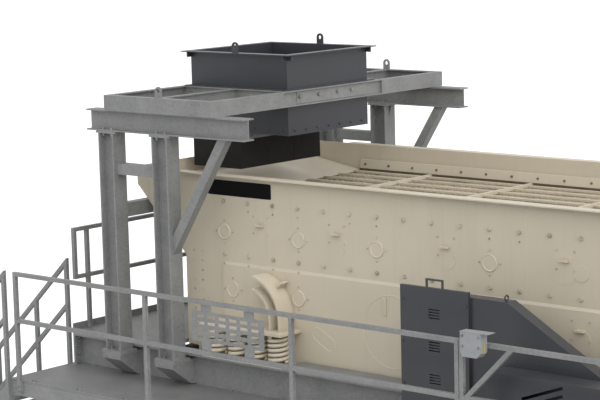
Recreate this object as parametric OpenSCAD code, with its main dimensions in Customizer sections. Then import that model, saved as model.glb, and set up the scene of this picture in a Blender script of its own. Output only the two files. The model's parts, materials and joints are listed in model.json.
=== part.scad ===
// Horizontal vibrating screen on a fixed steel support, with feed box, walkways and stair.
// X runs along the flow from the feed end to the discharge end, near side is -Y, Z is up.

/* [Screen box] */
// Clear width between the side plates
deck_w = 2438; // [1800:1:3000]
// Thickness of a side plate
plate_t = 10; // [6:1:20]
// Length of a side plate below its feed lip
plate_len = 6420; // [6300:1:7000]
// Height of a side plate
plate_h = 1760; // [1700:1:2000]
// Drop of the side plate below the girder top
plate_drop = 60; // [20:1:120]
// Distance from the walkway's feed end to the side plate
plate_in = 1380; // [1340:1:1420]
// Reach of the feed lip beyond the side plate
lip_len = 630; // [500:1:800]
// Height of the feed lip at its end
lip_h = 178; // [120:1:300]
// Depth from the plate's top to the foot of the lip's slope
lip_slope_h = 817; // [600:1:1000]
// Width of the top flange of a side plate
edge_flange_w = 100; // [50:1:150]
// Thickness of the top flange of a side plate
edge_flange_t = 12; // [6:1:20]
// Height of the doubler on the outside of a side plate
doubler_h = 925; // [800:1:1000]
// Thickness of the doubler
doubler_t = 12; // [6:1:20]
// Height of the bevel along the doubler's top
doubler_bevel = 25; // [15:1:40]
// Length of the doubler
doubler_len = 5500; // [5300:1:5600]
// Distance from the plate's feed edge to the doubler
doubler_in = 490; // [400:1:500]
// Pitch of the bolts along the side plate
bolt_pitch = 307.7; // [280:0.1:320]
// Distance from the plate's feed edge to the first bolt
bolt_in = 515; // [450:1:600]
// Diameter of the small round covers on the side plates
cover_d = 140; // [80:1:180]
// Diameter of the large round covers on the side plates
cap_d = 210; // [150:1:260]
// Thickness of the round covers
cover_t = 6; // [3:1:12]
// Depth of the round covers' centres below the plate's top
cover_down = 550; // [500:1:600]
// Depth of the low round cover's centre below the plate's top
low_cap_down = 1122; // [1060:1:1180]
// Depth of the low small covers' centres below the plate's top
low_cover_down = 1093; // [1060:1:1120]
// Width of the tab on a large round cover
tab_w = 85; // [60:1:110]
// Reach of the tab on a large round cover
tab_out = 40; // [20:1:60]
// Thickness of the tab on a large round cover
tab_t = 18; // [10:1:30]

/* [Decks] */
// Depth from the plate's top to the top deck
top_deck_down = 278; // [260:1:320]
// Distance from the top deck to the middle deck
middle_deck_down = 430; // [400:1:460]
// Distance from the top deck to the bottom deck
bottom_deck_down = 1150; // [1100:1:1200]
// Thickness of a deck panel
deck_t = 40; // [20:1:60]
// Number of openings along a deck
mesh_count = 12; // [8:1:12]
// Web left between the openings of a deck
mesh_web = 70; // [50:1:100]
// Side gap between a deck and the side plates
deck_gap = 3; // [1:1:8]
// Diameter of the cross tubes that carry the decks
tube_d = 140; // [100:1:180]
// Wall of a cross tube
tube_wall = 10; // [5:1:16]
// Number of cross tubes under a deck
tube_count = 5; // [3:1:6]
// Distance from the plate's feed edge to the decks
pan_len = 180; // [160:1:220]
// Depth from the plate's top to the feed end of the pan
pan_down = 134; // [100:1:150]
// Width of the bars on the top deck
bar_w = 30; // [20:1:50]
// Height of the bars along the top deck
bar_h = 20; // [12:1:40]
// Number of bars along the top deck
bar_count = 10; // [8:1:12]
// Height of the bars across the top deck
cross_bar_h = 32; // [25:1:50]
// Bolts of the side plate between two bars across the deck
cross_bar_step = 4; // [3:1:6]
// Height of the rail that clamps the edge of a deck
rail_h = 125; // [80:1:160]
// Thickness of the rail that clamps the edge of a deck
rail_t = 50; // [30:1:80]
// Thickness of that rail at its top
rail_top_t = 25; // [15:1:40]
// Thickness of the feed and discharge plates
pan_t = 12; // [6:1:20]
// Reach of a discharge lip beyond its deck
lip_reach = 300; // [200:1:320]
// Drop of a discharge lip
lip_drop = 100; // [60:1:140]
// Lap of a discharge lip under its deck
lip_lap = 60; // [40:1:100]
// Diameter of an exciter tube
exciter_d = 260; // [200:1:300]
// Spacing of the exciter tubes
exciter_gap = 420; // [340:1:500]

/* [Springs] */
// Outside diameter of a coil spring
spring_d = 200; // [160:1:220]
// Diameter of the spring wire
wire_d = 36; // [24:1:38]
// Free height of a spring
spring_h = 270; // [260:1:320]
// Turns of a spring
spring_turns = 5.75; // [4.75:0.5:5.75]
// Spacing of the springs in a bank
spring_gap = 250; // [240:1:270]
// Number of springs in a bank
spring_count = 4; // [3:1:4]
// Distance from the plate's feed edge to the middle of the first bank
bank_in = 960; // [940:1:1100]
// Thickness of the plates above and below the springs
seat_t = 25; // [15:1:40]
// Margin of those plates beyond the springs
seat_edge = 30; // [15:1:50]
// Outer radius of the arched bracket over a bank
arch_r = 418; // [380:1:440]
// Distance from the middle of the bank to the upper end of the arch
arch_end = 90; // [60:1:140]
// Straight height of the arch's leg
arch_leg = 86; // [60:1:120]
// Width of the arch between its edges
arch_w = 134; // [110:1:160]
// Depth of the arch across the machine
arch_depth = 210; // [150:1:220]
// Thickness of the arch's rims
arch_rim = 18; // [12:1:25]
// Thickness of the arch's web
arch_web = 20; // [12:1:30]
// Reach of the lug on the arch
lug_len = 75; // [50:1:100]

/* [Support frame] */
// Height of the girder top above the walkway
girder_up = 313; // [250:1:400]
// Depth of a girder
girder_h = 600; // [500:1:700]
// Flange width of a girder
girder_b = 200; // [160:1:220]
// Flange thickness of a girder
girder_tf = 20; // [12:1:30]
// Web thickness of a girder
girder_tw = 12; // [8:1:20]
// Distance from the side plate's face to the girder's middle
girder_off = 200; // [190:1:260]
// Distance from the walkway's feed end to the girder
girder_in = 60; // [40:1:100]
// Length of a girder
girder_len = 7880; // [7800:1:7900]
// Thickness of a girder's end plates
end_plate_t = 20; // [10:1:30]
// Depth of a leg section
leg_h = 200; // [160:1:260]
// Flange width of a leg section
leg_b = 200; // [160:1:260]
// Flange thickness of a leg
leg_tf = 15; // [10:1:20]
// Web thickness of a leg
leg_tw = 10; // [8:1:16]
// Number of legs under a girder
leg_count = 3; // [2:1:4]
// Distance from a girder's end to its outer leg
leg_in = 500; // [400:1:700]
// Side of a leg's base plate
base_w = 420; // [380:1:500]
// Thickness of a leg's base plate
base_t = 25; // [15:1:40]
// Radius of an anchor hole
anchor_r = 14; // [8:1:20]
// Spacing of the anchor holes
anchor_gap = 320; // [300:1:340]
// Margin of a leg's cap plate beyond the section
leg_cap_edge = 20; // [10:1:30]
// Reach of the braces between legs and girders
knee_len = 700; // [500:1:900]
// Side of a brace
knee_w = 80; // [50:1:100]
// Depth of the cross members between the legs
cross_h = 220; // [150:1:300]
// Flange width of the cross members
cross_b = 120; // [80:1:140]

/* [Feed box stand] */
// Depth of a column section along the machine
col_h = 200; // [180:1:230]
// Flange width of a column
col_b = 165; // [140:1:200]
// Flange thickness of a column
col_tf = 14; // [10:1:20]
// Web thickness of a column
col_tw = 10; // [8:1:16]
// Gap between the girder's flange and a column
col_clear = 11.5; // [8:0.5:30]
// Distance from the walkway's feed end to the first column
col_in = 820; // [800:1:900]
// Spacing of the columns along the machine
col_gap = 715; // [680:1:800]
// Depth of the column base below the girder top
col_down = 63; // [40:1:120]
// Height of a column with its plates
col_len = 2152; // [2000:1:2300]
// Thickness of the column's plates
col_plate_t = 20; // [12:1:30]
// Margin of the column's plates beyond the section
col_plate_edge = 30; // [15:1:40]
// Gap between a column bracket and the walkway
bracket_gap = 10; // [5:1:40]
// Width of a column bracket at its foot
bracket_foot = 60; // [40:1:90]
// Depth of a column bracket at its outer edge
bracket_lip = 40; // [25:1:60]
// Depth of the gussets at a column's head
head_gusset = 120; // [80:1:160]
// Depth of the strut between two columns
strut_h = 104; // [60:1:140]
// Depth from the column's top to the strut
strut_down = 306; // [200:1:400]
// Depth of the tie across the feed end
tie_h = 135; // [100:1:180]
// Gap between the tie and the feed lip above it
tie_gap = 25; // [15:1:60]
// Width of the struts and of the tie
strut_w = 100; // [60:1:120]
// Wall of the struts and of the tie
strut_wall = 8; // [4:1:12]
// Depth of a beam on the columns
beam_h = 203; // [150:1:260]
// Flange width of a beam
beam_b = 140; // [100:1:180]
// Flange thickness of a beam
beam_tf = 14; // [8:1:20]
// Web thickness of a beam
beam_tw = 9; // [6:1:14]
// Length of a beam
beam_len = 2049; // [2000:1:2150]
// Reach of a beam beyond the first column's middle
beam_over = 268; // [240:1:300]
// Side of a brace from a column to its beam
brace_w = 90; // [60:1:110]
// Reach of the brace along its beam
brace_x = 620; // [500:1:640]
// Drop of the brace along its column
brace_z = 960; // [800:1:1100]
// Depth of the top frame
frame_h = 147; // [100:1:200]
// Length of the top frame along the machine
frame_len = 1411; // [1390:1:1440]
// Distance from the beam's feed end to the top frame
frame_in = 286.5; // [260:0.5:320]
// Reach of the top frame beyond the beam's middle
frame_over = 104; // [90:1:200]
// Flange width of the top frame's channels
frame_b = 62; // [50:1:66]
// Wall of the top frame's channels
frame_t = 10; // [6:1:14]
// Width of the bolted plate on the discharge side of the frame
splice_w = 1040; // [900:1:1100]
// Thickness of the bolted plate
splice_t = 8; // [5:1:12]
// Width of the recess that holds the bolted plate
recess_w = 1480; // [1400:1:1600]
// Depth of the recess that holds the bolted plate
recess_t = 32; // [20:1:40]

/* [Feed box] */
// Gap between the feed box and the channels of the top frame
box_gap = 13.5; // [8:0.5:30]
// Width of the feed box
box_w = 1190; // [1000:1:1400]
// Height of the feed box above the top frame
box_up = 343; // [250:1:450]
// Depth of the feed box below the frame's top
box_down = 435; // [400:1:500]
// Wall of the feed box
box_t = 10; // [6:1:16]
// Width of the rim of the feed box
rim_w = 72; // [40:1:75]
// Height of the stiffeners under the rim
stiff_h = 50; // [30:1:80]
// Reach of the stiffeners under the rim
stiff_w = 60; // [30:1:65]
// Length of the outlet below the feed box
outlet_len = 600; // [400:1:700]
// Depth of the outlet collar
outlet_h = 90; // [60:1:110]
// Depth of the rubber skirt
skirt_h = 360; // [300:1:370]
// Thickness of the rubber skirt
skirt_t = 14; // [8:1:20]
// Number of flaps in a side of the skirt
flap_count = 3; // [2:1:4]
// Width of the slits between the flaps
slit_w = 5; // [3:1:8]
// Height of the clamp bars on the skirt
clamp_h = 60; // [40:1:80]
// Thickness of the clamp bars on the skirt
clamp_t = 8; // [5:1:12]
// Height of a lifting eye
eye_h = 105; // [80:1:130]
// Radius of the hole in a lifting eye
eye_r = 20; // [12:1:24]
// Thickness of a lifting eye
eye_t = 16; // [10:1:25]

/* [Walkways] */
// Height of the walkway above the ground
walk_z = 2600; // [2400:1:3000]
// Length of a walkway
walk_len = 8100; // [8050:1:8300]
// Clear width of a walkway from girder web to handrail
walk_w = 880; // [860:1:1100]
// Thickness of the walkway floor
grate_t = 35; // [25:1:50]
// Depth of the channel along a walkway's edge
edge_h = 160; // [120:1:220]
// Flange width of the channel along a walkway's edge
edge_b = 60; // [40:1:80]
// Wall of the channel along a walkway's edge
edge_t = 8; // [5:1:12]
// Height of the handrail above the walkway
guard_h = 1067; // [1000:1:1200]
// Distance from the top rail down to the middle rail
mid_down = 476; // [400:1:520]
// Side of the square tube of the handrails
tube_w = 38; // [32:1:44]
// Spacing of the handrail posts
post_gap = 1765; // [1500:1:1800]
// Distance from the walkway's feed end to the first post
post_in = 152; // [100:1:250]
// Shortest last span of a handrail
post_end = 600; // [400:1:800]
// Distance from the foot of the edge channel to a post's foot
post_up = 20; // [5:1:40]
// Gap between the twin posts
twin_gap = 8; // [4:1:20]
// Distance from the twin post to the foot of the rails' brace
rail_brace_in = 12; // [5:1:60]
// Height of a toe board
toe_h = 100; // [80:1:150]
// Thickness of a toe board
toe_t = 6; // [4:1:10]
// Gap between the feed platform and the screen box
feed_gap = 70; // [40:1:120]
// Distance from the platform's edge to the feed handrail
feed_rail_in = 48; // [30:1:80]
// Distance from the middle of the feed handrail to its inner posts
feed_mid = 255; // [240:1:400]
// Reach of the feed handrail's loops beyond its posts
loop_len = 190; // [120:1:260]
// Gap between a walkway bracket and the girder's lower flange
arm_gap = 2; // [1:1:10]
// Thickness of a walkway bracket
arm_t = 12; // [8:1:20]
// Number of brackets under a walkway
arm_count = 6; // [4:1:8]
// Distance from the walkway's end to its outer bracket
arm_in = 250; // [150:1:400]

/* [Stair] */
// Slope of the stair in degrees
stair_angle = 43; // [38:1:48]
// Rise of one step
step_rise = 200; // [180:1:220]
// Depth of a tread
tread_len = 235; // [200:1:260]
// Thickness of a tread
tread_t = 35; // [25:1:50]
// Depth of a stringer
stringer_h = 240; // [200:1:300]
// Thickness of a stringer
stringer_t = 12; // [8:1:20]
// Clear width of the stair
stair_w = 760; // [650:1:780]
// Distance from the top rail of the stair down to its middle rail
stair_mid = 430; // [380:1:480]
// Distance from the stair's top post to the next one
stair_post_in = 470; // [400:1:600]
// Spacing of the other stair posts
stair_post_gap = 620; // [560:1:640]
// Number of posts of a stair rail
stair_post_count = 5; // [4:1:5]
// Lap of a stair post on the stringer
stair_post_lap = 200; // [120:1:230]

/* [Drive guard] */
// Distance from the plate's feed edge to the guard's door
door_in = 3100; // [2900:1:3200]
// Width of the guard's door
door_w = 712; // [600:1:800]
// Height of the guard above the walkway
door_h = 1328; // [1200:1:1400]
// Thickness of the door
door_t = 30; // [20:1:50]
// Length of the flat top behind the door
guard_flat = 367; // [320:1:480]
// Length of the sloping top of the guard
guard_slope = 913; // [800:1:1000]
// Height of the guard at its low end
guard_low = 763; // [600:1:900]
// Diameter of the drive shaft
shaft_d = 110; // [80:1:140]
// Diameter of the housing where the drive shaft leaves the side plate
housing_d = 300; // [260:1:340]
// Diameter of the drive sheave
sheave_d = 420; // [340:1:480]
// Width of the sheave and of the shaft's housing
sheave_w = 60; // [40:1:70]
// Depth of the guard across the machine
guard_depth = 125; // [100:1:150]
// Gap between the girder's flange and the guard
guard_gap = 155; // [130:1:180]
// Drop of the guard's top below the door's top
guard_drop = 45; // [25:1:70]
// Sheet thickness of the guard
guard_t = 5; // [3:1:8]
// Width of a vent slot in the door
vent_w = 120; // [80:1:180]
// Height of a vent slot in the door
vent_h = 12; // [8:1:16]
// Number of slots in a group of vents
vent_count = 4; // [3:1:5]
// Height of the middle group of vents above the walkway
vent_up = 835; // [780:1:860]
// Spacing of the groups of vents
vent_gap = 279; // [250:1:300]
// Width of the door's handle
handle_w = 180; // [140:1:220]
// Height of the door's handle
handle_h = 75; // [60:1:100]
// Thickness of the door's handle
handle_t = 15; // [10:1:20]
// Length of the motor cover
motor_len = 1150; // [900:1:1200]
// Depth of the motor cover
motor_depth = 230; // [150:1:240]
// Height of the motor cover
motor_h = 750; // [600:1:760]
// Reach of the motor cover beyond the guard
motor_over = 200; // [100:1:300]
// Distance from the motor cover's side to its louvres
louvre_in = 330; // [250:1:400]
// Depth from the motor cover's top to its louvres
louvre_down = 170; // [120:1:220]
// Length of a louvre
louvre_len = 420; // [300:1:480]
// Height of a louvre
louvre_h = 26; // [15:1:32]
// Spacing of the louvres
louvre_gap = 66; // [50:1:80]
// Slope of the louvres in degrees
louvre_angle = 20; // [10:1:30]
// Number of louvres
louvre_count = 6; // [4:1:7]
// Width of the stop station
stop_w = 200; // [120:1:220]
// Height of the stop station
stop_h = 200; // [150:1:240]
// Depth of the stop station
stop_depth = 90; // [60:1:120]
// Distance from the rail's end post to the stop station
stop_in = 42; // [30:1:80]
// Rise of the stop station above the rail
stop_up = 88; // [60:1:120]
// Cut of the stop station's lower corners
stop_cut = 40; // [20:1:60]
// Reach of the stop station's hood
hood_out = 80; // [40:1:100]
// Sheet thickness of the hood
hood_t = 4; // [2:1:6]
// Distance from a post to the plain panel on the handrail
panel_in = 589; // [450:1:650]
// Length of the plain panel on the handrail
panel_len = 860; // [600:1:900]
// Height of the plain panel on the handrail
panel_h = 270; // [200:1:300]
// Thickness of the plain panel on the handrail
panel_t = 6; // [4:1:10]
// Gap between the plain panel and the middle rail
panel_up = 84; // [60:1:100]
// Width of the straps that hold the panel
strap_w = 115; // [60:1:140]
// Length of a slot in the panel
slot_len = 90; // [60:1:110]
// Height of a slot in the panel
slot_h = 28; // [15:1:35]
// Spacing of the slots along the panel
slot_gap = 130; // [120:1:150]
// Spacing of the slots up the panel
slot_rise = 60; // [50:1:65]
// Slots in a row of the panel
slot_count = 6; // [4:1:6]
// Rows of slots in the panel
slot_rows = 4; // [2:1:4]

/* [Hidden] */
$fn = 48;
seat_gap = 0.3;
lap = 1;
beige = "#c2b69d";
zinc = "#8a8b89";
charcoal = "#4a4b4e";
black = "#201f1e";
sides = [-1, 1];
// Places of the round covers, counted in bolts
cover_at = [0, 3, 6, 10, 13, 16];
cap_at = [1.5, 4.5, 8.5, 12.5, 15.5];
low_cap_at = 13;
low_cover_at = [1 / 3, 3];
first_cross_bar = 2;
twin_post = 3;
// Places along the machine
stair_run = walk_z / tan(stair_angle);
walk_x0 = (stair_run - walk_len) / 2;
walk_x1 = walk_x0 + walk_len;
girder_x0 = walk_x0 + girder_in;
girder_x1 = girder_x0 + girder_len;
col_x = [walk_x0 + col_in, walk_x0 + col_in + col_gap];
beam_x0 = col_x[0] - beam_over;
frame_x0 = beam_x0 + frame_in;
box_len = frame_len - 2 * (frame_b + box_gap);
box_x0 = frame_x0 + frame_b + box_gap;
plate_x0 = walk_x0 + plate_in;
plate_x1 = plate_x0 + plate_len;
lip_x0 = plate_x0 - lip_len;
bank_x = [plate_x0 + bank_in, plate_x1 - bank_in];
door_x0 = plate_x0 + door_in;
door_x1 = door_x0 + door_w;
guard_x1 = door_x1 + guard_flat + guard_slope;
// Places across the machine
plate_in_y = deck_w / 2;
plate_y = plate_in_y + plate_t;
doubler_y = plate_y + doubler_t;
girder_y = plate_y + girder_off;
web_y = girder_y + girder_tw / 2;
col_y = girder_y + girder_b / 2 + col_clear + col_b / 2;
edge_y = web_y + walk_w;
post_y = edge_y + tube_w / 2;
guard_y = girder_y + girder_b / 2 + guard_gap;
// Heights
girder_top = walk_z + girder_up;
girder_bot = girder_top - girder_h;
plate_z0 = girder_top - plate_drop;
plate_z1 = plate_z0 + plate_h;
spring_z0 = girder_top + seat_t;
spring_z1 = spring_z0 + spring_h;
foot_z1 = spring_z1 + seat_t;
col_z0 = girder_top - col_down;
beam_z0 = col_z0 + col_len;
frame_z0 = beam_z0 + beam_h;
frame_z1 = frame_z0 + frame_h;
box_z0 = frame_z1 - box_down;
box_z1 = frame_z1 + box_up;
skirt_z0 = box_z0 - skirt_h;
top_deck_z = plate_z1 - top_deck_down;
deck_z = [top_deck_z, top_deck_z - middle_deck_down, top_deck_z - bottom_deck_down];
deck_x0 = plate_x0 + pan_len;
bolt_x0 = plate_x0 + bolt_in;
exciter_z = (deck_z[1] - tube_d + deck_z[2]) / 2;
leg_x = [for (i = [0 : leg_count - 1])
    girder_x0 + leg_in + i * (girder_len - 2 * leg_in) / (leg_count - 1)];
leg_z1 = girder_bot;
cross_z1 = leg_z1 - base_t;
arm_x = [for (i = [0 : arm_count - 1])
    walk_x0 + arm_in + i * (walk_len - 2 * arm_in) / (arm_count - 1)];
post_x = [for (x = [walk_x0 + post_in : post_gap : walk_x1 - post_end]) x, walk_x1 - tube_w];
twin_x = post_x[twin_post] + tube_w + twin_gap;
mid_z = walk_z + guard_h - mid_down;
rail_z = walk_z + guard_h;
post_z0 = walk_z - edge_h + post_up;
step_count = round(walk_z / step_rise);
rise = walk_z / step_count;
going = stair_run / step_count;
stair_y0 = edge_y - stair_w - 2 * stringer_t;
stair_slope = tan(stair_angle);
stair_x = [for (d = [0 : stair_post_count - 1])
    walk_x0 - tube_w / 2 - (d > 0 ? stair_post_in + (d - 1) * stair_post_gap : 0)];
// Height of the feed lip's underside at x
function lip_z(x) = plate_z1 - lip_h - (x - lip_x0) * (lip_slope_h - lip_h) / lip_len;

// Outline of an I section, depth along the first axis
module i_section(depth, width, tf, tw) {
    square([depth, tw], center = true);
    for (s = sides)
        translate([s * (depth - tf) / 2, 0])
            square([tf, width], center = true);
}

// I section upright, its depth along X
module i_post(length, depth, width, tf, tw) {
    linear_extrude(length)
        i_section(depth, width, tf, tw);
}

// I section along X, its depth along Z, seated on its lower face
module i_along_x(length, depth, width, tf, tw) {
    translate([0, 0, depth / 2])
        rotate([0, 90, 0])
            linear_extrude(length)
                i_section(depth, width, tf, tw);
}

// I section along Y from its middle, its depth along Z, hung by its upper face
module i_along_y(length, depth, width, tf, tw) {
    translate([0, length / 2, -depth / 2])
        rotate([90, 0, 0])
            linear_extrude(length)
                rotate(90)
                    i_section(depth, width, tf, tw);
}

// Outline in X and Z carried along Y
module across(y0, y1) {
    translate([0, y1, 0])
        rotate([90, 0, 0])
            linear_extrude(y1 - y0)
                children();
}

// Copy on both sides of the machine
module both_sides() {
    for (s = sides)
        scale_side(s)
            children();
}

// Near side as drawn, far side mirrored
module scale_side(s) {
    if (s < 0)
        children();
    else
        mirror([0, 1, 0])
            children();
}

// Small round cover on a face that looks to -Y
module cover() {
    translate([0, lap, 0])
        rotate([90, 0, 0])
            cylinder(h = cover_t + lap, d = cover_d);
}

// Large round cover with a tab at its top, on a face that looks to -Y
module cap() {
    translate([0, lap, 0])
        rotate([90, 0, 0])
            cylinder(h = cover_t / 2 + lap, d = cap_d);
    translate([-tab_w / 2, -tab_out, cap_d / 2 - tab_t])
        cube([tab_w, tab_out + lap, tab_t]);
}

// Side plate: lip, doubler, top flange and round covers
module side_plate() {
    cover_z = plate_z1 - cover_down;
    across(-plate_y, -plate_in_y)
        polygon([
            [plate_x0, plate_z0], [plate_x1, plate_z0], [plate_x1, plate_z1],
            [lip_x0, plate_z1], [lip_x0, plate_z1 - lip_h], [plate_x0, plate_z1 - lip_slope_h]
        ]);
    translate([plate_x0 + doubler_in, 0, plate_z0])
        rotate([90, 0, 90])
            linear_extrude(doubler_len)
                polygon([
                    [-doubler_y, 0], [-plate_y + lap, 0], [-plate_y + lap, doubler_h],
                    [-plate_y, doubler_h], [-doubler_y, doubler_h - doubler_bevel]
                ]);
    translate([plate_x0, -plate_y - edge_flange_w, plate_z1 - edge_flange_t])
        cube([plate_len, edge_flange_w + lap, edge_flange_t]);
    for (k = cover_at)
        translate([bolt_x0 + k * bolt_pitch, -plate_y, cover_z])
            cover();
    for (k = low_cover_at)
        translate([bolt_x0 + k * bolt_pitch, -doubler_y, plate_z1 - low_cover_down])
            cover();
    for (k = cap_at)
        translate([bolt_x0 + k * bolt_pitch, -plate_y, cover_z])
            cap();
    translate([bolt_x0 + low_cap_at * bolt_pitch, -doubler_y, plate_z1 - low_cap_down])
        cap();
}

module side_plate_near() {
    color(beige) side_plate();
}

module side_plate_far() {
    color(beige) scale_side(1) side_plate();
}

// Bent plate that closes the feed end under the lip
module feed_back_plate() {
    color(beige)
        across(-plate_in_y, plate_in_y)
            polygon([
                [lip_x0, plate_z1], [lip_x0, plate_z1 - lip_h],
                [plate_x0, plate_z1 - lip_slope_h], [plate_x0, deck_z[2]],
                [plate_x0 + pan_t, deck_z[2]],
                [plate_x0 + pan_t, plate_z1 - lip_slope_h + pan_t / 2],
                [lip_x0 + pan_t, plate_z1 - lip_h + pan_t / 2], [lip_x0 + pan_t, plate_z1]
            ]);
}

// Sloping pan that carries the feed on to the top deck
module feed_pan() {
    pan_z = plate_z1 - pan_down;
    color(beige)
        across(-plate_in_y, plate_in_y)
            polygon([
                [lip_x0 + pan_t, pan_z - pan_t], [deck_x0, top_deck_z],
                [deck_x0 + pan_t, top_deck_z], [deck_x0 + pan_t, top_deck_z + pan_t],
                [deck_x0, top_deck_z + pan_t], [lip_x0 + pan_t, pan_z]
            ]);
}

// One lip at the discharge end of each deck
module discharge_lips() {
    x0 = plate_x1 - lip_lap;
    color(beige)
        for (z = deck_z)
            across(-plate_in_y, plate_in_y)
                polygon([
                    [x0, z - deck_t], [x0, z - deck_t - pan_t],
                    [x0 + lip_reach, z - deck_t - pan_t - lip_drop],
                    [x0 + lip_reach, z - deck_t - lip_drop]
                ]);
}

// Tubes across the box that carry the decks
module cross_tubes() {
    span = plate_x1 - deck_x0 - 4 * tube_d;
    color(beige)
        for (z = deck_z, i = [0 : tube_count - 1])
            translate([deck_x0 + 2 * tube_d + i * span / (tube_count - 1), 0,
                z - deck_t - tube_d / 2])
                rotate([90, 0, 0])
                    difference() {
                        cylinder(h = deck_w, d = tube_d, center = true);
                        cylinder(h = deck_w + 2 * lap, d = tube_d - 2 * tube_wall, center = true);
                    }
}

// Three tubes that house the exciter shafts, and the driven shaft with its sheave
module exciter_tubes() {
    sheave_y = guard_y + (guard_depth - sheave_w) / 2;
    color(beige)
        translate([(door_x0 + door_x1) / 2, 0, exciter_z])
            rotate([90, 0, 0]) {
                for (i = [-1, 0, 1])
                    translate([i * exciter_gap, 0, 0])
                        cylinder(h = deck_w, d = exciter_d, center = true);
                translate([0, 0, doubler_y]) {
                    cylinder(h = sheave_w, d = housing_d);
                    cylinder(h = sheave_y + sheave_w - doubler_y, d = shaft_d);
                }
                translate([0, 0, sheave_y])
                    cylinder(h = sheave_w, d = sheave_d);
            }
}

// Screen panel of one deck, with openings between the bars
module deck(z) {
    half = plate_in_y - deck_gap;
    x0 = deck_x0 + pan_t;
    length = plate_x1 - x0;
    step = [length / mesh_count, deck_w / bar_count];
    translate([x0, 0, z - deck_t])
        linear_extrude(deck_t)
            difference() {
                translate([0, -half]) square([length, 2 * half]);
                for (i = [0 : mesh_count - 1], j = [1 : bar_count - 1])
                    translate([(i + 0.5) * step[0], j * step[1] - plate_in_y])
                        square([step[0] - mesh_web, step[1] - mesh_web], center = true);
            }
}

module top_deck() {
    color(black) deck(deck_z[0]);
}

module middle_deck() {
    color(black) deck(deck_z[1]);
}

module bottom_deck() {
    color(black) deck(deck_z[2]);
}

// Grid of bars on the top deck
module hold_down_bars() {
    x0 = deck_x0 + 2 * pan_t;
    half = plate_in_y - rail_t - deck_gap;
    step = deck_w / bar_count;
    color(beige) {
        for (i = [0 : bar_count - 1])
            translate([x0, (i + 0.5) * step - plate_in_y - bar_w / 2, top_deck_z])
                cube([plate_x1 - x0, bar_w, bar_h]);
        for (x = [bolt_x0 + first_cross_bar * bolt_pitch : cross_bar_step * bolt_pitch
            : plate_x1 - bar_w])
            translate([x - bar_w / 2, -half, top_deck_z])
                cube([bar_w, 2 * half, cross_bar_h]);
    }
}

// Rails on the inner faces that clamp the edges of the top deck
module clamp_rails() {
    x0 = deck_x0 + 2 * pan_t;
    color(beige)
        both_sides()
            translate([x0, 0, top_deck_z])
                rotate([90, 0, 90])
                    linear_extrude(plate_x1 - x0)
                        polygon([
                            [-plate_in_y, 0], [-plate_in_y + rail_t, 0],
                            [-plate_in_y + rail_top_t, rail_h], [-plate_in_y, rail_h]
                        ]);
}

// Outline of a quarter arch on a straight leg, from start out to radius r
module arch(r, start, low) {
    translate([0, arch_leg])
        intersection() {
            circle(r);
            translate([start, -lap]) square([r, r + lap]);
        }
    translate([start, -low]) square([r - start, arch_leg + low]);
}

// Band between two quarter arches
module arch_band(outer, inner) {
    difference() {
        arch(outer, arch_end, 0);
        arch(inner, 0, lap);
    }
}

// Curved bracket on the side plate: rims, web and lug, with its foot on a spring bank
module spring_bracket() {
    foot = (spring_count - 1) * spring_gap + spring_d + 2 * seat_edge;
    foot_y = girder_y + spring_d / 2 + seat_edge / 2;
    inner = arch_r - arch_w;
    translate([-foot / 2, -foot_y, spring_z1])
        cube([foot, foot_y - doubler_y, seat_t]);
    translate([0, -doubler_y, foot_z1])
        rotate([90, 0, 0]) {
            linear_extrude(arch_depth) {
                arch_band(arch_r, arch_r - arch_rim);
                arch_band(inner + arch_rim, inner);
            }
            translate([0, 0, (arch_depth - arch_web) / 2])
                linear_extrude(arch_web)
                    arch_band(arch_r - arch_rim / 2, inner + arch_rim / 2);
            linear_extrude(arch_depth / 2)
                translate([0, arch_leg])
                    rotate(45)
                        translate([arch_r - lap, -arch_rim / 2])
                            square([lug_len + lap, arch_rim]);
        }
}

module spring_brackets() {
    color(beige)
        both_sides()
            for (i = [0, 1])
                translate([bank_x[i], 0, 0])
                    mirror([i, 0, 0])
                        spring_bracket();
}

// Height of the wire's middle at turn t: a quarter turn lies flat at each end
function coil_z(t) = wire_d / 2 + (spring_h - wire_d)
    * min(max(t - 0.25, 0), spring_turns - 0.5) / (spring_turns - 0.5);

// Helical spring swept along its coil, standing on its ground end
module coil_spring() {
    per_turn = 12;
    ring_n = 6;
    radius = (spring_d - wire_d) / 2;
    last = round(spring_turns * per_turn);
    points = [for (i = [0 : last], j = [0 : ring_n - 1])
        let (a = 360 * i / per_turn, b = 90 + 360 * j / ring_n,
            r = radius + wire_d / 2 * cos(b))
        [r * cos(a), r * sin(a), coil_z(i / per_turn) + wire_d / 2 * sin(b)]];
    walls = [for (i = [0 : last - 1], j = [0 : ring_n - 1])
        let (k = (j + 1) % ring_n, p = i * ring_n, q = p + ring_n)
        [p + j, p + k, q + k, q + j]];
    ends = [
        [for (j = [ring_n - 1 : -1 : 0]) j],
        [for (j = [0 : ring_n - 1]) last * ring_n + j]
    ];
    polyhedron(points, concat(walls, ends), convexity = 10);
}

// Springs of both banks on one girder
module spring_row() {
    for (x = bank_x, i = [0 : spring_count - 1])
        translate([x + (i - (spring_count - 1) / 2) * spring_gap, -girder_y, spring_z0])
            coil_spring();
}

module springs_near() {
    color(beige) spring_row();
}

module springs_far() {
    color(beige) translate([0, 2 * girder_y, 0]) spring_row();
}

// Plates on the girders under the springs
module spring_seats() {
    seat = (spring_count - 1) * spring_gap + spring_d + 2 * seat_edge;
    color(beige)
        for (s = sides, x = bank_x)
            translate([x - seat / 2, s * girder_y - girder_b / 2, girder_top])
                cube([seat, girder_b, seat_t]);
}

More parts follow.
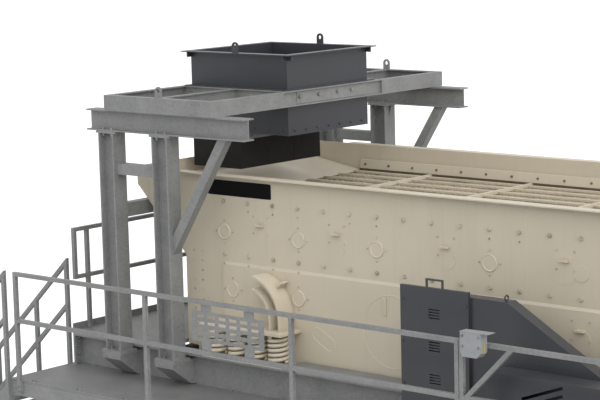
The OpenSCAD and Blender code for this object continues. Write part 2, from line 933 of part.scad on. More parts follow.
// Door of the drive guard with groups of vent slots and a handle
module guard_door() {
    mid_x = (door_x0 + door_x1) / 2;
    front = -guard_y - guard_depth - door_t;
    color(charcoal) {
        difference() {
            translate([door_x0, front, walk_z])
                cube([door_w, door_t, door_h]);
            translate([door_x0 + guard_t, front + guard_t, walk_z - lap])
                cube([door_w - 2 * guard_t, door_t, door_h + lap - guard_t]);
            for (group = [-1, 0, 1], i = [0 : vent_count - 1])
                translate([mid_x - vent_w / 2, front - lap,
                    walk_z + vent_up + group * vent_gap + (2 * i - vent_count) * vent_h])
                    cube([vent_w, guard_t + 2 * lap, vent_h]);
        }
        translate([mid_x, front + door_t / 2, walk_z + door_h])
            rotate([90, 0, 0])
                linear_extrude(handle_t, center = true)
                    difference() {
                        translate([-handle_w / 2, 0])
                            square([handle_w, handle_h]);
                        translate([-handle_w / 2 + handle_t, -lap])
                            square([handle_w - 2 * handle_t, handle_h + lap - handle_t]);
                    }
    }
}

// Sheet housing of the belt drive, open to the machine
module drive_guard() {
    wall = guard_t;
    top = walk_z + door_h - guard_drop;
    low = walk_z + guard_low;
    knee = door_x1 + guard_flat;
    outline = [
        [door_x0, walk_z], [guard_x1, walk_z], [guard_x1, low], [knee, top], [door_x0, top]
    ];
    inside = [
        [door_x0 + wall, walk_z - lap], [guard_x1 - wall, walk_z - lap],
        [guard_x1 - wall, low - 2 * wall], [knee, top - 2 * wall], [door_x0 + wall, top - 2 * wall]
    ];
    color(charcoal)
        difference() {
            across(-guard_y - guard_depth, -guard_y)
                polygon(outline);
            across(-guard_y - guard_depth + wall, -guard_y + lap)
                polygon(inside);
        }
}

// Cover of the drive motor with slanted louvres
module motor_cover() {
    x0 = guard_x1 + motor_over - motor_len;
    y0 = -guard_y - guard_depth - motor_depth;
    color(charcoal)
        difference() {
            translate([x0, y0, walk_z])
                cube([motor_len, motor_depth, motor_h]);
            translate([x0 + guard_t, y0 + guard_t, walk_z - lap])
                cube([motor_len - 2 * guard_t, motor_depth, motor_h + lap - guard_t]);
            for (i = [0 : louvre_count - 1])
                translate([x0 + louvre_in, y0 - lap, walk_z + motor_h - louvre_down - i * louvre_gap])
                    rotate([0, -louvre_angle, 0])
                        translate([0, 0, -louvre_h])
                            cube([louvre_len, guard_t + 2 * lap, louvre_h]);
        }
}

// Plate girder with end plates and web stiffeners over the legs
module girder() {
    translate([girder_x0, 0, girder_bot])
        i_along_x(girder_len, girder_h, girder_b, girder_tf, girder_tw);
    for (x = [girder_x0, girder_x1 - end_plate_t])
        translate([x, -girder_b / 2, girder_bot])
            cube([end_plate_t, girder_b, girder_h]);
    for (x = leg_x)
        translate([x - girder_tw / 2, 0, girder_bot + girder_tf - lap])
            cube([girder_tw, girder_b / 2, girder_h - 2 * girder_tf + 2 * lap]);
}

module girder_near() {
    color(zinc) translate([0, -girder_y, 0]) girder();
}

module girder_far() {
    color(zinc) scale_side(1) translate([0, -girder_y, 0]) girder();
}

// Leg with base plate, anchor holes and cap plate
module leg() {
    difference() {
        translate([-base_w / 2, -base_w / 2, 0])
            cube([base_w, base_w, base_t]);
        for (sx = sides, sy = sides)
            translate([sx * anchor_gap / 2, sy * anchor_gap / 2, -lap])
                cylinder(h = base_t + 2 * lap, r = anchor_r);
    }
    translate([0, 0, base_t])
        i_post(leg_z1 - 2 * base_t, leg_h, leg_b, leg_tf, leg_tw);
    translate([-leg_h / 2 - leg_cap_edge, -leg_b / 2, leg_z1 - base_t])
        cube([leg_h + 2 * leg_cap_edge, leg_b, base_t]);
}

module legs_near() {
    color(zinc)
        for (x = leg_x)
            translate([x, -girder_y, 0])
                leg();
}

module legs_far() {
    color(zinc)
        for (x = leg_x)
            translate([x, girder_y, 0])
                leg();
}

// Beams between the near and far legs
module cross_members() {
    color(zinc)
        for (x = leg_x)
            translate([x, 0, cross_z1])
                i_along_y(2 * girder_y - leg_tw, cross_h, cross_b, leg_tf, leg_tw);
}

// Braces from the legs to the girders
module leg_braces() {
    face = knee_w * sqrt(2);
    color(zinc)
        for (s = sides, i = [0 : leg_count - 1], d = sides)
            if (!(i == 0 && d < 0) && !(i == leg_count - 1 && d > 0))
                translate([leg_x[i], s * girder_y, 0])
                    across(-knee_w / 2, knee_w / 2)
                        polygon([
                            [d * leg_h / 2, leg_z1 - knee_len],
                            [d * leg_h / 2, leg_z1 - knee_len - face],
                            [d * (leg_h / 2 + knee_len + face), leg_z1],
                            [d * (leg_h / 2 + knee_len), leg_z1]
                        ]);
}

// Bracket on the girder's web under one column: top plate, gussets and a sloping front
module column_bracket() {
    reach = col_y + col_b / 2 + col_plate_edge - web_y;
    width = col_h + 2 * col_plate_edge;
    drop = col_z0 - col_plate_t - walk_z - bracket_gap;
    translate([-width / 2, -web_y - reach, col_z0 - col_plate_t])
        cube([width, reach, col_plate_t]);
    for (s = sides)
        translate([s * (width / 2 - col_plate_t), 0, col_z0 - col_plate_t])
            rotate([90, 0, 90])
                linear_extrude(col_plate_t, center = true)
                    polygon([
                        [-web_y, 0], [-web_y, -drop], [-web_y - bracket_foot, -drop],
                        [-web_y - reach, -bracket_lip], [-web_y - reach, 0]
                    ]);
    translate([0, 0, col_z0 - col_plate_t])
        rotate([90, 0, 90])
            linear_extrude(width - 2 * col_plate_t, center = true)
                polygon([
                    [-web_y - bracket_foot, -drop], [-web_y - reach, -bracket_lip],
                    [-web_y - reach + col_plate_t, -bracket_lip],
                    [-web_y - bracket_foot + col_plate_t, -drop]
                ]);
}

module column_brackets() {
    color(zinc)
        both_sides()
            for (x = col_x)
                translate([x, 0, 0])
                    column_bracket();
}

// Column with base plate, cap plate and flared gussets at its head
module column() {
    plate = [col_h + 2 * col_plate_edge, col_b + 2 * col_plate_edge, col_plate_t];
    translate([-plate[0] / 2, -plate[1] / 2, col_z0])
        cube(plate);
    translate([0, 0, col_z0 + col_plate_t])
        i_post(col_len - 2 * col_plate_t, col_h, col_b, col_tf, col_tw);
    translate([-plate[0] / 2, -col_b / 2, beam_z0 - col_plate_t])
        cube([plate[0], col_b, col_plate_t]);
    for (s = sides)
        across(-col_tw, col_tw)
            polygon([
                [s * col_h / 2, beam_z0 - col_plate_t], [s * plate[0] / 2, beam_z0 - col_plate_t],
                [s * col_h / 2, beam_z0 - col_plate_t - head_gusset]
            ]);
}

module columns_near() {
    color(zinc)
        for (x = col_x)
            translate([x, -col_y, 0])
                column();
}

module columns_far() {
    color(zinc)
        for (x = col_x)
            translate([x, col_y, 0])
                column();
}

// Box section bar from the origin along X
module box_bar(length, width, depth, wall) {
    rotate([90, 0, 90])
        linear_extrude(length)
            difference() {
                square([width, depth], center = true);
                square([width - 2 * wall, depth - 2 * wall], center = true);
            }
}

// Struts between the two columns of each side
module column_struts() {
    color(zinc)
        for (s = sides)
            translate([col_x[0] + col_h / 2, s * col_y, beam_z0 - strut_down - strut_h / 2])
                box_bar(col_gap - col_h, strut_w, strut_h, strut_wall);
}

// Tie between the two feed end columns, under the feed lip
module cross_tie() {
    length = 2 * col_y - col_tw;
    top = lip_z(col_x[0] + strut_w / 2) - tie_gap;
    color(zinc)
        translate([col_x[0], -length / 2, top - tie_h / 2])
            rotate(90)
                box_bar(length, strut_w, tie_h, strut_wall);
}

// Beam on the columns of one side
module beam() {
    translate([beam_x0, 0, beam_z0])
        i_along_x(beam_len, beam_h, beam_b, beam_tf, beam_tw);
}

module beam_near() {
    color(zinc) translate([0, -col_y, 0]) beam();
}

module beam_far() {
    color(zinc) translate([0, col_y, 0]) beam();
}

// Braces from the second columns up to the beams
module column_braces() {
    x0 = col_x[1] + col_h / 2;
    angle = atan2(brace_z, brace_x);
    color(zinc)
        for (s = sides)
            translate([0, s * col_y, 0])
                across(-brace_w / 2, brace_w / 2)
                    polygon([
                        [x0, beam_z0 - brace_z], [x0, beam_z0 - brace_z - brace_w / cos(angle)],
                        [x0 + brace_x + brace_w / sin(angle), beam_z0], [x0 + brace_x, beam_z0]
                    ]);
}

// Rectangular ring of wall t, outer size given, from the origin upward
module ring(x, y, z, t) {
    linear_extrude(z)
        difference() {
            square([x, y]);
            translate([t, t]) square([x - 2 * t, y - 2 * t]);
        }
}

// Channel bar of the top frame, its web under the middle of its flange
module frame_bar(length) {
    translate([0, -frame_t / 2, frame_t / 2])
        cube([length, frame_t, frame_h - frame_t]);
    translate([0, -frame_b / 2, frame_h - frame_t])
        cube([length, frame_b, frame_t]);
}

// Ring of channels that carries the feed box, with inner bars and a plate bolted in a recess
module top_frame() {
    width = 2 * (col_y + frame_over);
    inner_y = (box_w + frame_b) / 2 + box_gap;
    web_h = frame_h - 2 * frame_t;
    color(zinc)
        translate([frame_x0, 0, frame_z0]) {
            difference() {
                translate([0, -width / 2, 0])
                    ring(frame_len, width, frame_h, frame_t);
                translate([frame_len - frame_t - lap, -recess_w / 2, frame_t])
                    cube([frame_t + 2 * lap, recess_w, web_h]);
            }
            for (z = [0, frame_h - frame_t])
                translate([0, -width / 2, z])
                    ring(frame_len, width, frame_t, frame_b);
            translate([frame_len - recess_t - frame_t, -recess_w / 2, frame_t / 2])
                cube([frame_t, recess_w, frame_h - frame_t]);
            for (s = sides) {
                translate([frame_len - recess_t - frame_t, s * (recess_w + frame_t) / 2 - frame_t / 2,
                    frame_t / 2])
                    cube([recess_t + frame_t / 2, frame_t, frame_h - frame_t]);
                translate([frame_t / 2, s * inner_y, 0])
                    frame_bar(frame_len - recess_t - frame_t);
                translate([frame_len / 2, s * inner_y, 0])
                    rotate(s * 90)
                        frame_bar((width - frame_t) / 2 - inner_y);
            }
            translate([frame_len - recess_t - lap, -splice_w / 2, frame_t + splice_t])
                cube([splice_t + lap, splice_w, web_h - 2 * splice_t]);
        }
}

// Stiffener under the rim of the feed box, on a wall that looks to -Y
module stiffener() {
    translate([0, -stiff_w, box_z1 - box_t - stiff_h])
        cube([box_t, stiff_w + lap, stiff_h + lap]);
}

// Plate eye for lifting, seated on the origin
module plate_eye() {
    up = eye_h - 2 * eye_r;
    rotate([90, 0, 0])
        linear_extrude(eye_t, center = true)
            difference() {
                union() {
                    translate([0, up]) circle(2 * eye_r);
                    translate([-2 * eye_r, 0]) square([4 * eye_r, up]);
                }
                translate([0, up]) circle(eye_r);
            }
}

// Feed box: four walls, rim with eyes, seat flange, bottom plate and outlet collar
module feed_box() {
    out_w = box_w - 2 * skirt_t;
    color(charcoal)
        translate([box_x0, -box_w / 2, 0]) {
            for (y = [-rim_w / 2, box_w + rim_w / 2])
                translate([box_len / 2, y, box_z1 - lap])
                    plate_eye();
            translate([0, 0, box_z0])
                ring(box_len, box_w, box_z1 - box_z0, box_t);
            translate([-rim_w, -rim_w, box_z1 - box_t])
                ring(box_len + 2 * rim_w, box_w + 2 * rim_w, box_t, rim_w + box_t);
            translate([-frame_b / 2, -rim_w, frame_z1])
                ring(box_len + frame_b, box_w + 2 * rim_w, box_t, frame_b / 2 + box_t);
            for (x = [0, box_len - box_t], y = [0, box_w])
                translate([x, y, 0])
                    mirror([0, y > 0 ? 1 : 0, 0])
                        stiffener();
            for (x = [0, box_len], y = [0, box_w - box_t])
                translate([x, y, 0])
                    mirror([x > 0 ? 1 : 0, 0, 0])
                        mirror([1, -1, 0])
                            stiffener();
            translate([0, 0, box_z0])
                difference() {
                    cube([box_len, box_w, box_t]);
                    translate([skirt_t + box_t, skirt_t + box_t, -lap])
                        cube([outlet_len - 2 * box_t, out_w - 2 * box_t, box_t + 2 * lap]);
                }
            translate([skirt_t, skirt_t, box_z0 - outlet_h])
                ring(outlet_len, out_w, outlet_h + box_t / 2, box_t);
        }
}

// Plate eyes on the near and far bars of the top frame
module lifting_eyes() {
    color(zinc)
        for (s = sides)
            translate([frame_x0 + frame_len / 2, s * (col_y + frame_over - frame_b / 2), frame_z1])
                plate_eye();
}

// Rubber curtain round the outlet collar, slit into flaps below it
module feed_skirt() {
    length = outlet_len + 2 * skirt_t;
    slit_h = skirt_h - 2 * outlet_h;
    color(black)
        translate([box_x0, -box_w / 2, skirt_z0])
            difference() {
                ring(length, box_w, skirt_h, skirt_t);
                for (i = [1 : flap_count - 1])
                    translate([-lap, i * box_w / flap_count - slit_w / 2, -lap])
                        cube([length + 2 * lap, slit_w, slit_h + lap]);
            }
}

// Flat bars that clamp the skirt to the collar
module skirt_clamps() {
    z = box_z0 - outlet_h + (outlet_h - clamp_h) / 2;
    color(zinc)
        translate([box_x0 - clamp_t, -box_w / 2 - clamp_t, z])
            ring(outlet_len + 2 * skirt_t + 2 * clamp_t, box_w + 2 * clamp_t, clamp_h, clamp_t);
}

// Floor of one walkway
module walkway() {
    translate([walk_x0, -edge_y, walk_z - grate_t])
        cube([walk_len, walk_w, grate_t]);
}

module walkway_near() {
    color(zinc) walkway();
}

module walkway_far() {
    color(zinc) scale_side(1) walkway();
}

// Channels along the outer edges of the walkways
module walkway_channels() {
    color(zinc)
        both_sides()
            translate([walk_x0, 0, walk_z - edge_h])
                rotate([90, 0, 90])
                    linear_extrude(walk_len)
                        difference() {
                            translate([-edge_y, 0])
                                square([edge_b, edge_h - grate_t]);
                            translate([-edge_y + edge_t, edge_t])
                                square([edge_b, edge_h - grate_t - 2 * edge_t]);
                        }
}

// Tapered arms from the girder webs under the walkways
module walkway_brackets() {
    top = walk_z - grate_t;
    drop = top - girder_bot - girder_tf - arm_gap;
    color(zinc)
        both_sides()
            for (x = arm_x)
                translate([x, 0, top])
                    rotate([90, 0, 90])
                        linear_extrude(arm_t, center = true)
                            polygon([
                                [-web_y, 0], [-web_y, -drop], [-web_y - girder_b / 2, -drop],
                                [-edge_y + edge_b, grate_t - edge_h], [-edge_y + edge_b, 0]
                            ]);
}

// Board on the edge of the feed platform
module toe_boards() {
    width = 2 * girder_y + girder_b;
    color(zinc)
        translate([girder_x0, -width / 2, girder_top])
            cube([toe_t, width, toe_h]);
}

// Floor on the girders at the feed end
module feed_platform() {
    width = 2 * girder_y + girder_b;
    color(zinc)
        translate([girder_x0 + toe_t, -width / 2, girder_top])
            cube([plate_x0 - feed_gap - girder_x0 - toe_t, width, grate_t]);
}

// Run of handrail on the posts at xs: top rail over the posts, middle rails between them
module rail_run(xs) {
    last = len(xs) - 1;
    for (x = xs)
        translate([x - tube_w / 2, 0, post_z0])
            cube([tube_w, tube_w, rail_z - tube_w - seat_gap - post_z0]);
    translate([xs[0] - tube_w / 2, 0, rail_z - tube_w])
        cube([xs[last] - xs[0] + tube_w, tube_w, tube_w]);
    for (i = [0 : last - 1])
        translate([xs[i] + tube_w / 2 + seat_gap, 0, mid_z - tube_w / 2])
            cube([xs[i + 1] - xs[i] - tube_w - 2 * seat_gap, tube_w, tube_w]);
}

// Handrail along one walkway: two runs that meet at twin posts, and a brace
module handrail() {
    foot = twin_x + tube_w / 2 + rail_brace_in;
    z0 = mid_z + tube_w / 2 + seat_gap;
    z1 = rail_z - tube_w - seat_gap;
    face = tube_w * sqrt(2);
    translate([0, -post_y - tube_w / 2, 0]) {
        rail_run([for (i = [0 : twin_post]) post_x[i]]);
        rail_run([twin_x, for (i = [twin_post + 1 : len(post_x) - 1]) post_x[i]]);
        across(0, tube_w)
            polygon([
                [foot, z0], [foot + face, z0], [foot + face + z1 - z0, z1], [foot + z1 - z0, z1]
            ]);
    }
}

module handrail_near() {
    color(zinc) handrail();
}

module handrail_far() {
    color(zinc) scale_side(1) handrail();
}

// Handrail across the feed end, with a loop at each end
module feed_handrail() {
    z0 = girder_top + grate_t;
    top = girder_top + guard_h - tube_w;
    mid = top + tube_w / 2 - mid_down;
    half = girder_y + girder_b / 2;
    post = half - loop_len;
    ys = [-half + tube_w / 2, -post, -feed_mid, feed_mid, post, half - tube_w / 2];
    last = len(ys) - 1;
    color(zinc)
        translate([girder_x0 + feed_rail_in - tube_w / 2, 0, 0]) {
            translate([0, -half, top])
                cube([tube_w, 2 * half, tube_w]);
            for (i = [1 : last - 1])
                translate([0, ys[i] - tube_w / 2, z0])
                    cube([tube_w, tube_w, top - seat_gap - z0]);
            for (y = [ys[0], ys[last]])
                translate([0, y - tube_w / 2, mid - tube_w / 2])
                    cube([tube_w, tube_w, top - seat_gap - mid + tube_w / 2]);
            for (i = [0 : last - 1])
                translate([0, ys[i] + tube_w / 2 + seat_gap, mid - tube_w / 2])
                    cube([tube_w, ys[i + 1] - ys[i] - tube_w - 2 * seat_gap, tube_w]);
        }
}

// Sides of the stair, from the ground to the walkway's end
module stair_stringers() {
    foot = stringer_h / sin(stair_angle);
    drop = stringer_h / cos(stair_angle);
    color(zinc)
        for (y = [-edge_y, -stair_y0 - stringer_t])
            across(y, y + stringer_t)
                polygon([
                    [walk_x0 - stair_run, 0], [walk_x0 - stair_run + foot, 0],
                    [walk_x0, walk_z - drop], [walk_x0, walk_z]
                ]);
}

// Treads between the stringers
module stair_treads() {
    color(zinc)
        for (i = [1 : step_count - 1])
            translate([walk_x0 - stair_run + i * going, -edge_y + stringer_t, i * rise - tread_t])
                cube([tread_len, stair_w, tread_t]);
}

// Height of the stair rail's top at x
function stair_rail_z(x) = rail_z + (x - stair_x[0] - tube_w / 2) * stair_slope;

// Sloping bar under the stair rail's top line from xa to xb, its top lowered by down
module slope_bar(xa, xb, down) {
    drop = tube_w / cos(stair_angle);
    polygon([
        [xa, stair_rail_z(xa) - down - drop], [xb, stair_rail_z(xb) - down - drop],
        [xb, stair_rail_z(xb) - down], [xa, stair_rail_z(xa) - down]
    ]);
}

// One sloping handrail in X and Z: top rail, posts cut to its slope and middle rails
module stair_rail() {
    drop = tube_w / cos(stair_angle) + seat_gap;
    last = len(stair_x) - 1;
    half = tube_w / 2;
    slope_bar(stair_x[last] - half, stair_x[0] + half, 0);
    for (x = stair_x)
        let (foot = walk_z + (x - walk_x0) * stair_slope - stair_post_lap)
        polygon([
            [x - half, foot], [x + half, foot], [x + half, stair_rail_z(x + half) - drop],
            [x - half, stair_rail_z(x - half) - drop]
        ]);
    for (i = [0 : last - 1])
        slope_bar(stair_x[i + 1] + half + seat_gap, stair_x[i] - half - seat_gap, stair_mid);
}

module stair_rails() {
    color(zinc)
        for (y = [-edge_y - tube_w, -stair_y0])
            across(y, y + tube_w)
                stair_rail();
}

// Plain slotted panel on two straps between the rails of the near handrail
module rail_panel() {
    strap_z0 = mid_z + tube_w / 2 + seat_gap;
    strap_h = rail_z - tube_w - seat_gap - strap_z0;
    edge_x = (panel_len - (slot_count - 1) * slot_gap - slot_len) / 2;
    edge_z = (panel_h - (slot_rows - 1) * slot_rise - slot_h) / 2;
    color(zinc)
        translate([post_x[1] + panel_in, 0, strap_z0])
            across(-post_y - panel_t / 2, -post_y + panel_t / 2)
                difference() {
                    union() {
                        translate([0, panel_up]) square([panel_len, panel_h]);
                        for (x = [strap_w, panel_len - 2 * strap_w])
                            translate([x, 0]) square([strap_w, strap_h]);
                    }
                    for (i = [0 : slot_count - 1], j = [0 : slot_rows - 1])
                        translate([edge_x + i * slot_gap, panel_up + edge_z + j * slot_rise])
                            square([slot_len, slot_h]);
                }
}

// Stop stations on the rails, with cut lower corners and a sheet hood
module stop_stations() {
    y0 = post_y + tube_w / 2;
    color(zinc)
        both_sides()
            translate([twin_x + tube_w / 2 + stop_in, -y0, rail_z + stop_up - stop_h]) {
                across(-stop_depth, 0)
                    polygon([
                        [0, stop_cut], [stop_cut / 2, 0], [stop_w - stop_cut, 0],
                        [stop_w, stop_cut], [stop_w, stop_h], [0, stop_h]
                    ]);
                across(-stop_depth - hood_t, 0)
                    polygon([
                        [-hood_t, stop_h], [stop_w, stop_h], [stop_w + hood_out, stop_h + hood_t],
                        [stop_w + hood_out, stop_h + 2 * hood_t], [-hood_t, stop_h + hood_t]
                    ]);
            }
}

side_plate_near();
side_plate_far();
feed_back_plate();
feed_pan();
discharge_lips();
cross_tubes();
exciter_tubes();
top_deck();
middle_deck();
bottom_deck();
hold_down_bars();
clamp_rails();
spring_brackets();
springs_near();
springs_far();
spring_seats();
guard_door();
drive_guard();
motor_cover();
girder_near();
girder_far();
legs_near();
legs_far();
cross_members();
leg_braces();
column_brackets();
columns_near();
columns_far();
column_struts();
cross_tie();
beam_near();
beam_far();
column_braces();
top_frame();
feed_box();
lifting_eyes();
skirt_clamps();
feed_skirt();
walkway_near();
walkway_far();
walkway_channels();
walkway_brackets();
toe_boards();
feed_platform();
handrail_near();
handrail_far();
feed_handrail();
stair_stringers();
stair_treads();
stair_rails();
rail_panel();
stop_stations();
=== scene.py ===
"""Looks of a horizontal vibrating screen on its steel support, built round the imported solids."""

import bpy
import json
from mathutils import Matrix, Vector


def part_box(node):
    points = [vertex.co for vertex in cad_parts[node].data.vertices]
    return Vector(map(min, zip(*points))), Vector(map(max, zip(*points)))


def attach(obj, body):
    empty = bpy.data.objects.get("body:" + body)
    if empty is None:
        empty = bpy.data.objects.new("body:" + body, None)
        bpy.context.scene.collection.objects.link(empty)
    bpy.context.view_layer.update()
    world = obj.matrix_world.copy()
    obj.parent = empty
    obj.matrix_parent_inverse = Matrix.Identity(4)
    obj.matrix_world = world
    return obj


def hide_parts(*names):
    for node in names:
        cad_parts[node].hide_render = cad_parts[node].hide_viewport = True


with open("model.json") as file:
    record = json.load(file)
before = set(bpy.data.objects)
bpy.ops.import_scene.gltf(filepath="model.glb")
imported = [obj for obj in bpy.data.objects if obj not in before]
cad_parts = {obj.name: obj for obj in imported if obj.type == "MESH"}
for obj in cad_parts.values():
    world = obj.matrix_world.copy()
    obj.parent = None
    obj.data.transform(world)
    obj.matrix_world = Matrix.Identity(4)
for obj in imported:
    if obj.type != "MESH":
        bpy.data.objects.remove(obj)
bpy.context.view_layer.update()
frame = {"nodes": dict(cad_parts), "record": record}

import json
import logging
import math
from dataclasses import dataclass
from enum import Enum
from typing import Any, Sequence

import bpy
import numpy as np
from mathutils import Matrix
from numpy.typing import NDArray

LOG = logging.getLogger("vibrating_screen")
Points = NDArray[np.float64]
Corners = NDArray[np.int64]
Rows = Points | Sequence[Any]
Tree = bpy.types.NodeTree
Socket = bpy.types.NodeSocket

# directions in the frame: along the flow, across it to the far side, up and down
ALONG, ACROSS, UP, DOWN = (1.0, 0.0, 0.0), (0.0, 1.0, 0.0), (0.0, 0.0, 1.0), (0.0, 0.0, -1.0)
# length in metres that an M20 bolt stands past its nut
STUD = 0.014
WHITE = (1.0, 1.0, 1.0, 1.0)


class Slot(Enum):
    """Material slots of the record."""

    BEIGE = "beige_paint"
    CHARCOAL = "charcoal_paint"
    ZINC = "galvanised_steel"
    FLOOR = "galvanised_floor"
    RUBBER = "black_rubber"
    CLOTH = "screen_media"
    CASE = "grey_box"


class Side(Enum):
    """The two long sides of the machine, as the sign of their Y."""

    NEAR = -1
    FAR = 1

    @property
    def out(self) -> tuple[float, float, float]:
        """Direction from the machine's middle to this side."""
        return (0.0, float(self.value), 0.0)

    @property
    def tag(self) -> str:
        """Ending of the names of this side's pieces."""
        return self.name.lower()


def linear(colour: str) -> tuple[float, float, float, float]:
    """Turns an sRGB hex colour into linear light.

    Args:
        colour: Six hex digits after a hash sign.

    Returns:
        Linear red, green and blue, with an alpha of one.
    """
    srgb = np.array([int(colour[i:i + 2], 16) for i in (1, 3, 5)]) / 255.0
    rgb = np.where(srgb <= 0.04045, srgb / 12.92, ((srgb + 0.055) / 1.055) ** 2.4)
    return (float(rgb[0]), float(rgb[1]), float(rgb[2]), 1.0)


def span(node: str) -> tuple[Points, Points]:
    """Gives the box of a CAD node.

    Args:
        node: Name of the node.

    Returns:
        Its lowest and its highest corner, in metres.
    """
    low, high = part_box(node)
    return np.array(low, float), np.array(high, float)


def per(size_mm: float) -> float:
    """Gives a pattern's scale.

    Args:
        size_mm: Width that one feature of the pattern gets.

    Returns:
        The scale, in features per metre.
    """
    return 1000.0 / size_mm


def put(tree: Tree, kind: str, sockets: dict[Any, Any] | None = None,
        **settings: Any) -> bpy.types.Node:
    """Adds one node, with its settings, its values and its links.

    Args:
        tree: Node tree that takes the node.
        kind: Type of the node, without its ShaderNode prefix.
        sockets: Values or output sockets for its inputs, by name or number.
        **settings: Properties of the node.

    Returns:
        The new node.
    """
    node = tree.nodes.new("ShaderNode" + kind)
    for name, value in settings.items():
        setattr(node, name, value)
    for key, value in (sockets or {}).items():
        if isinstance(value, Socket):
            tree.links.new(value, node.inputs[key])
        else:
            node.inputs[key].default_value = value
    return node


@dataclass(frozen=True)
class Finish:
    """A finish that can be put on a piece.

    Attributes:
        name: Name of the material: what it is and how it was made.
    """

    name: str

    def shade(self, tree: Tree, place: Socket) -> dict[str, Any]:
        """Builds the pattern nodes.

        Args:
            tree: Node tree of the material.
            place: Object coordinates, in metres.

        Returns:
            Values and sockets for the surface shader.
        """
        raise NotImplementedError

    def settled(self, tree: Tree, patches: Socket, most: float) -> Socket:
        """Finds where dust lies: the upward part of the normal, from 0.4 to 1, times the patches.

        Args:
            tree: Node tree of the material.
            patches: Pattern that breaks the dust up.
            most: Share of dust on a level face.

        Returns:
            Share of dust at each point.
        """
        normal = put(tree, "NewGeometry").outputs["Normal"]
        up = put(tree, "SeparateXYZ", {0: normal}).outputs[2]
        limits = {"Value": up, "From Min": 0.4, "From Max": 1.0, "To Max": most}
        lies = put(tree, "MapRange", limits).outputs[0]
        return put(tree, "Math", {0: lies, 1: patches}, operation="MULTIPLY").outputs[0]

    def edges(self, tree: Tree, width_mm: float, most: float) -> Socket:
        """Finds the outer edges, where a rounded normal and the face's own turn apart; a pale colour there is
        partly wear from rubbing and partly a painted highlight.

        Args:
            tree: Node tree of the material.
            width_mm: Width of the pale band of wear and painted highlight.
            most: Share of the pale colour of wear and painted highlight on the edge itself.

        Returns:
            Share of the pale colour of wear and painted highlight at each point.
        """
        normal = put(tree, "NewGeometry").outputs["Normal"]
        rounded = put(tree, "Bevel", {"Radius": 0.001 * width_mm}, samples=3).outputs[0]
        match = put(tree, "VectorMath", {0: rounded, 1: normal}, operation="DOT_PRODUCT").outputs["Value"]
        limits = {"Value": match, "From Min": 0.995, "From Max": 0.9, "To Max": most}
        return put(tree, "MapRange", limits).outputs[0]

    def material(self) -> bpy.types.Material:
        """Gives the material, made on first use.

        Returns:
            The material, with its nodes.
        """
        found = bpy.data.materials.get(self.name)
        if found:
            return found
        material = bpy.data.materials.new(self.name)
        material.use_nodes = True
        tree = material.node_tree
        tree.nodes.clear()
        place = put(tree, "TexCoord").outputs["Object"]
        surface = put(tree, "BsdfPrincipled", self.shade(tree, place))
        put(tree, "OutputMaterial", {"Surface": surface.outputs[0]})
        return material


@dataclass(frozen=True)
class SprayedEnamel(Finish):
    """Alkyd enamel sprayed on welded plate: satin, with dust on top, painted shade in inner corners, and pale
    edges that are partly wear from rubbing and partly a painted highlight.
    """

    base: str
    faded: str
    dust: str
    # colour of rain runs, and of the painted shade in inner corners
    seam: str
    # pale edge colour: wear from rubbing and painted highlight
    rubbed_and_highlight: str
    roughness: float = 0.46

    def shade(self, tree: Tree, place: Socket) -> dict[str, Any]:
        """Mixes cloudy fading, rain runs, dust, painted shade in inner corners and pale edges (wear from
        rubbing and painted highlight) over the paint colour.

        Args:
            tree: Node tree of the material.
            place: Object coordinates, in metres.

        Returns:
            Values and sockets for the surface shader.
        """
        # clouds about a metre wide, where the paint has faded
        drift = put(tree, "TexNoise", {"Vector": place, "Scale": per(900), "Detail": 3.0}).outputs[0]
        pair = {0: drift, 6: linear(self.base), 7: linear(self.faded)}
        tone = put(tree, "Mix", pair, data_type="RGBA").outputs[2]
        # runs 60 mm wide and over a metre long, left by rain
        tall = put(tree, "Mapping", {"Vector": place, "Scale": (per(60), per(60), per(1300))}).outputs[0]
        runs = put(tree, "TexNoise", {"Vector": tall, "Scale": 1.0, "Detail": 4.0}).outputs[0]
        limits = {"Value": runs, "From Min": 0.5, "From Max": 0.8, "To Max": 0.08}
        run = put(tree, "MapRange", limits).outputs[0]
        washed = put(tree, "Mix", {0: run, 6: tone, 7: linear(self.seam)}, data_type="RGBA").outputs[2]
        # stone dust in 150 mm patches on what looks up
        grit = put(tree, "TexNoise", {"Vector": place, "Scale": per(150), "Detail": 6.0}).outputs[0]
        lies = self.settled(tree, grit, 0.8)
        dusty = put(tree, "Mix", {0: lies, 6: washed, 7: linear(self.dust)}, data_type="RGBA").outputs[2]
        # painted shade: the colour darkens within 50 mm of an inner corner, where ambient occlusion finds
        # little open sky
        painted_shade_ao = put(tree, "AmbientOcclusion", {"Distance": 0.05}, samples=4).outputs["AO"]
        painted_shade_limits = {"Value": painted_shade_ao, "From Min": 0.85, "From Max": 0.3, "To Max": 0.45}
        corner = put(tree, "MapRange", painted_shade_limits).outputs[0]
        dust_and_painted_shade = put(tree, "Mix", {0: corner, 6: dusty, 7: linear(self.seam)}, data_type="RGBA").outputs[2]
        # a pale band 5 mm wide along the outer edges: wear from rubbing and a painted highlight
        edge = self.edges(tree, 5.0, 0.5)
        worn_and_highlit = put(tree, "Mix", {0: edge, 6: dust_and_painted_shade, 7: linear(self.rubbed_and_highlight)}, data_type="RGBA").outputs[2]
        # orange peel, drawn 7 mm wide so that it shows
        peel = put(tree, "TexNoise", {"Vector": place, "Scale": per(7), "Detail": 1.0}).outputs[0]
        bump = put(tree, "Bump", {"Height": peel, "Strength": 0.12, "Distance": 0.0008}).outputs[0]
        # rougher where grit lies
        dull = {"Value": grit, "To Min": self.roughness - 0.08, "To Max": self.roughness + 0.1}
        gloss = put(tree, "MapRange", dull).outputs[0]
        return {"Base Color": worn_and_highlit, "Roughness": gloss, "Normal": bump, "Specular IOR Level": 0.4}


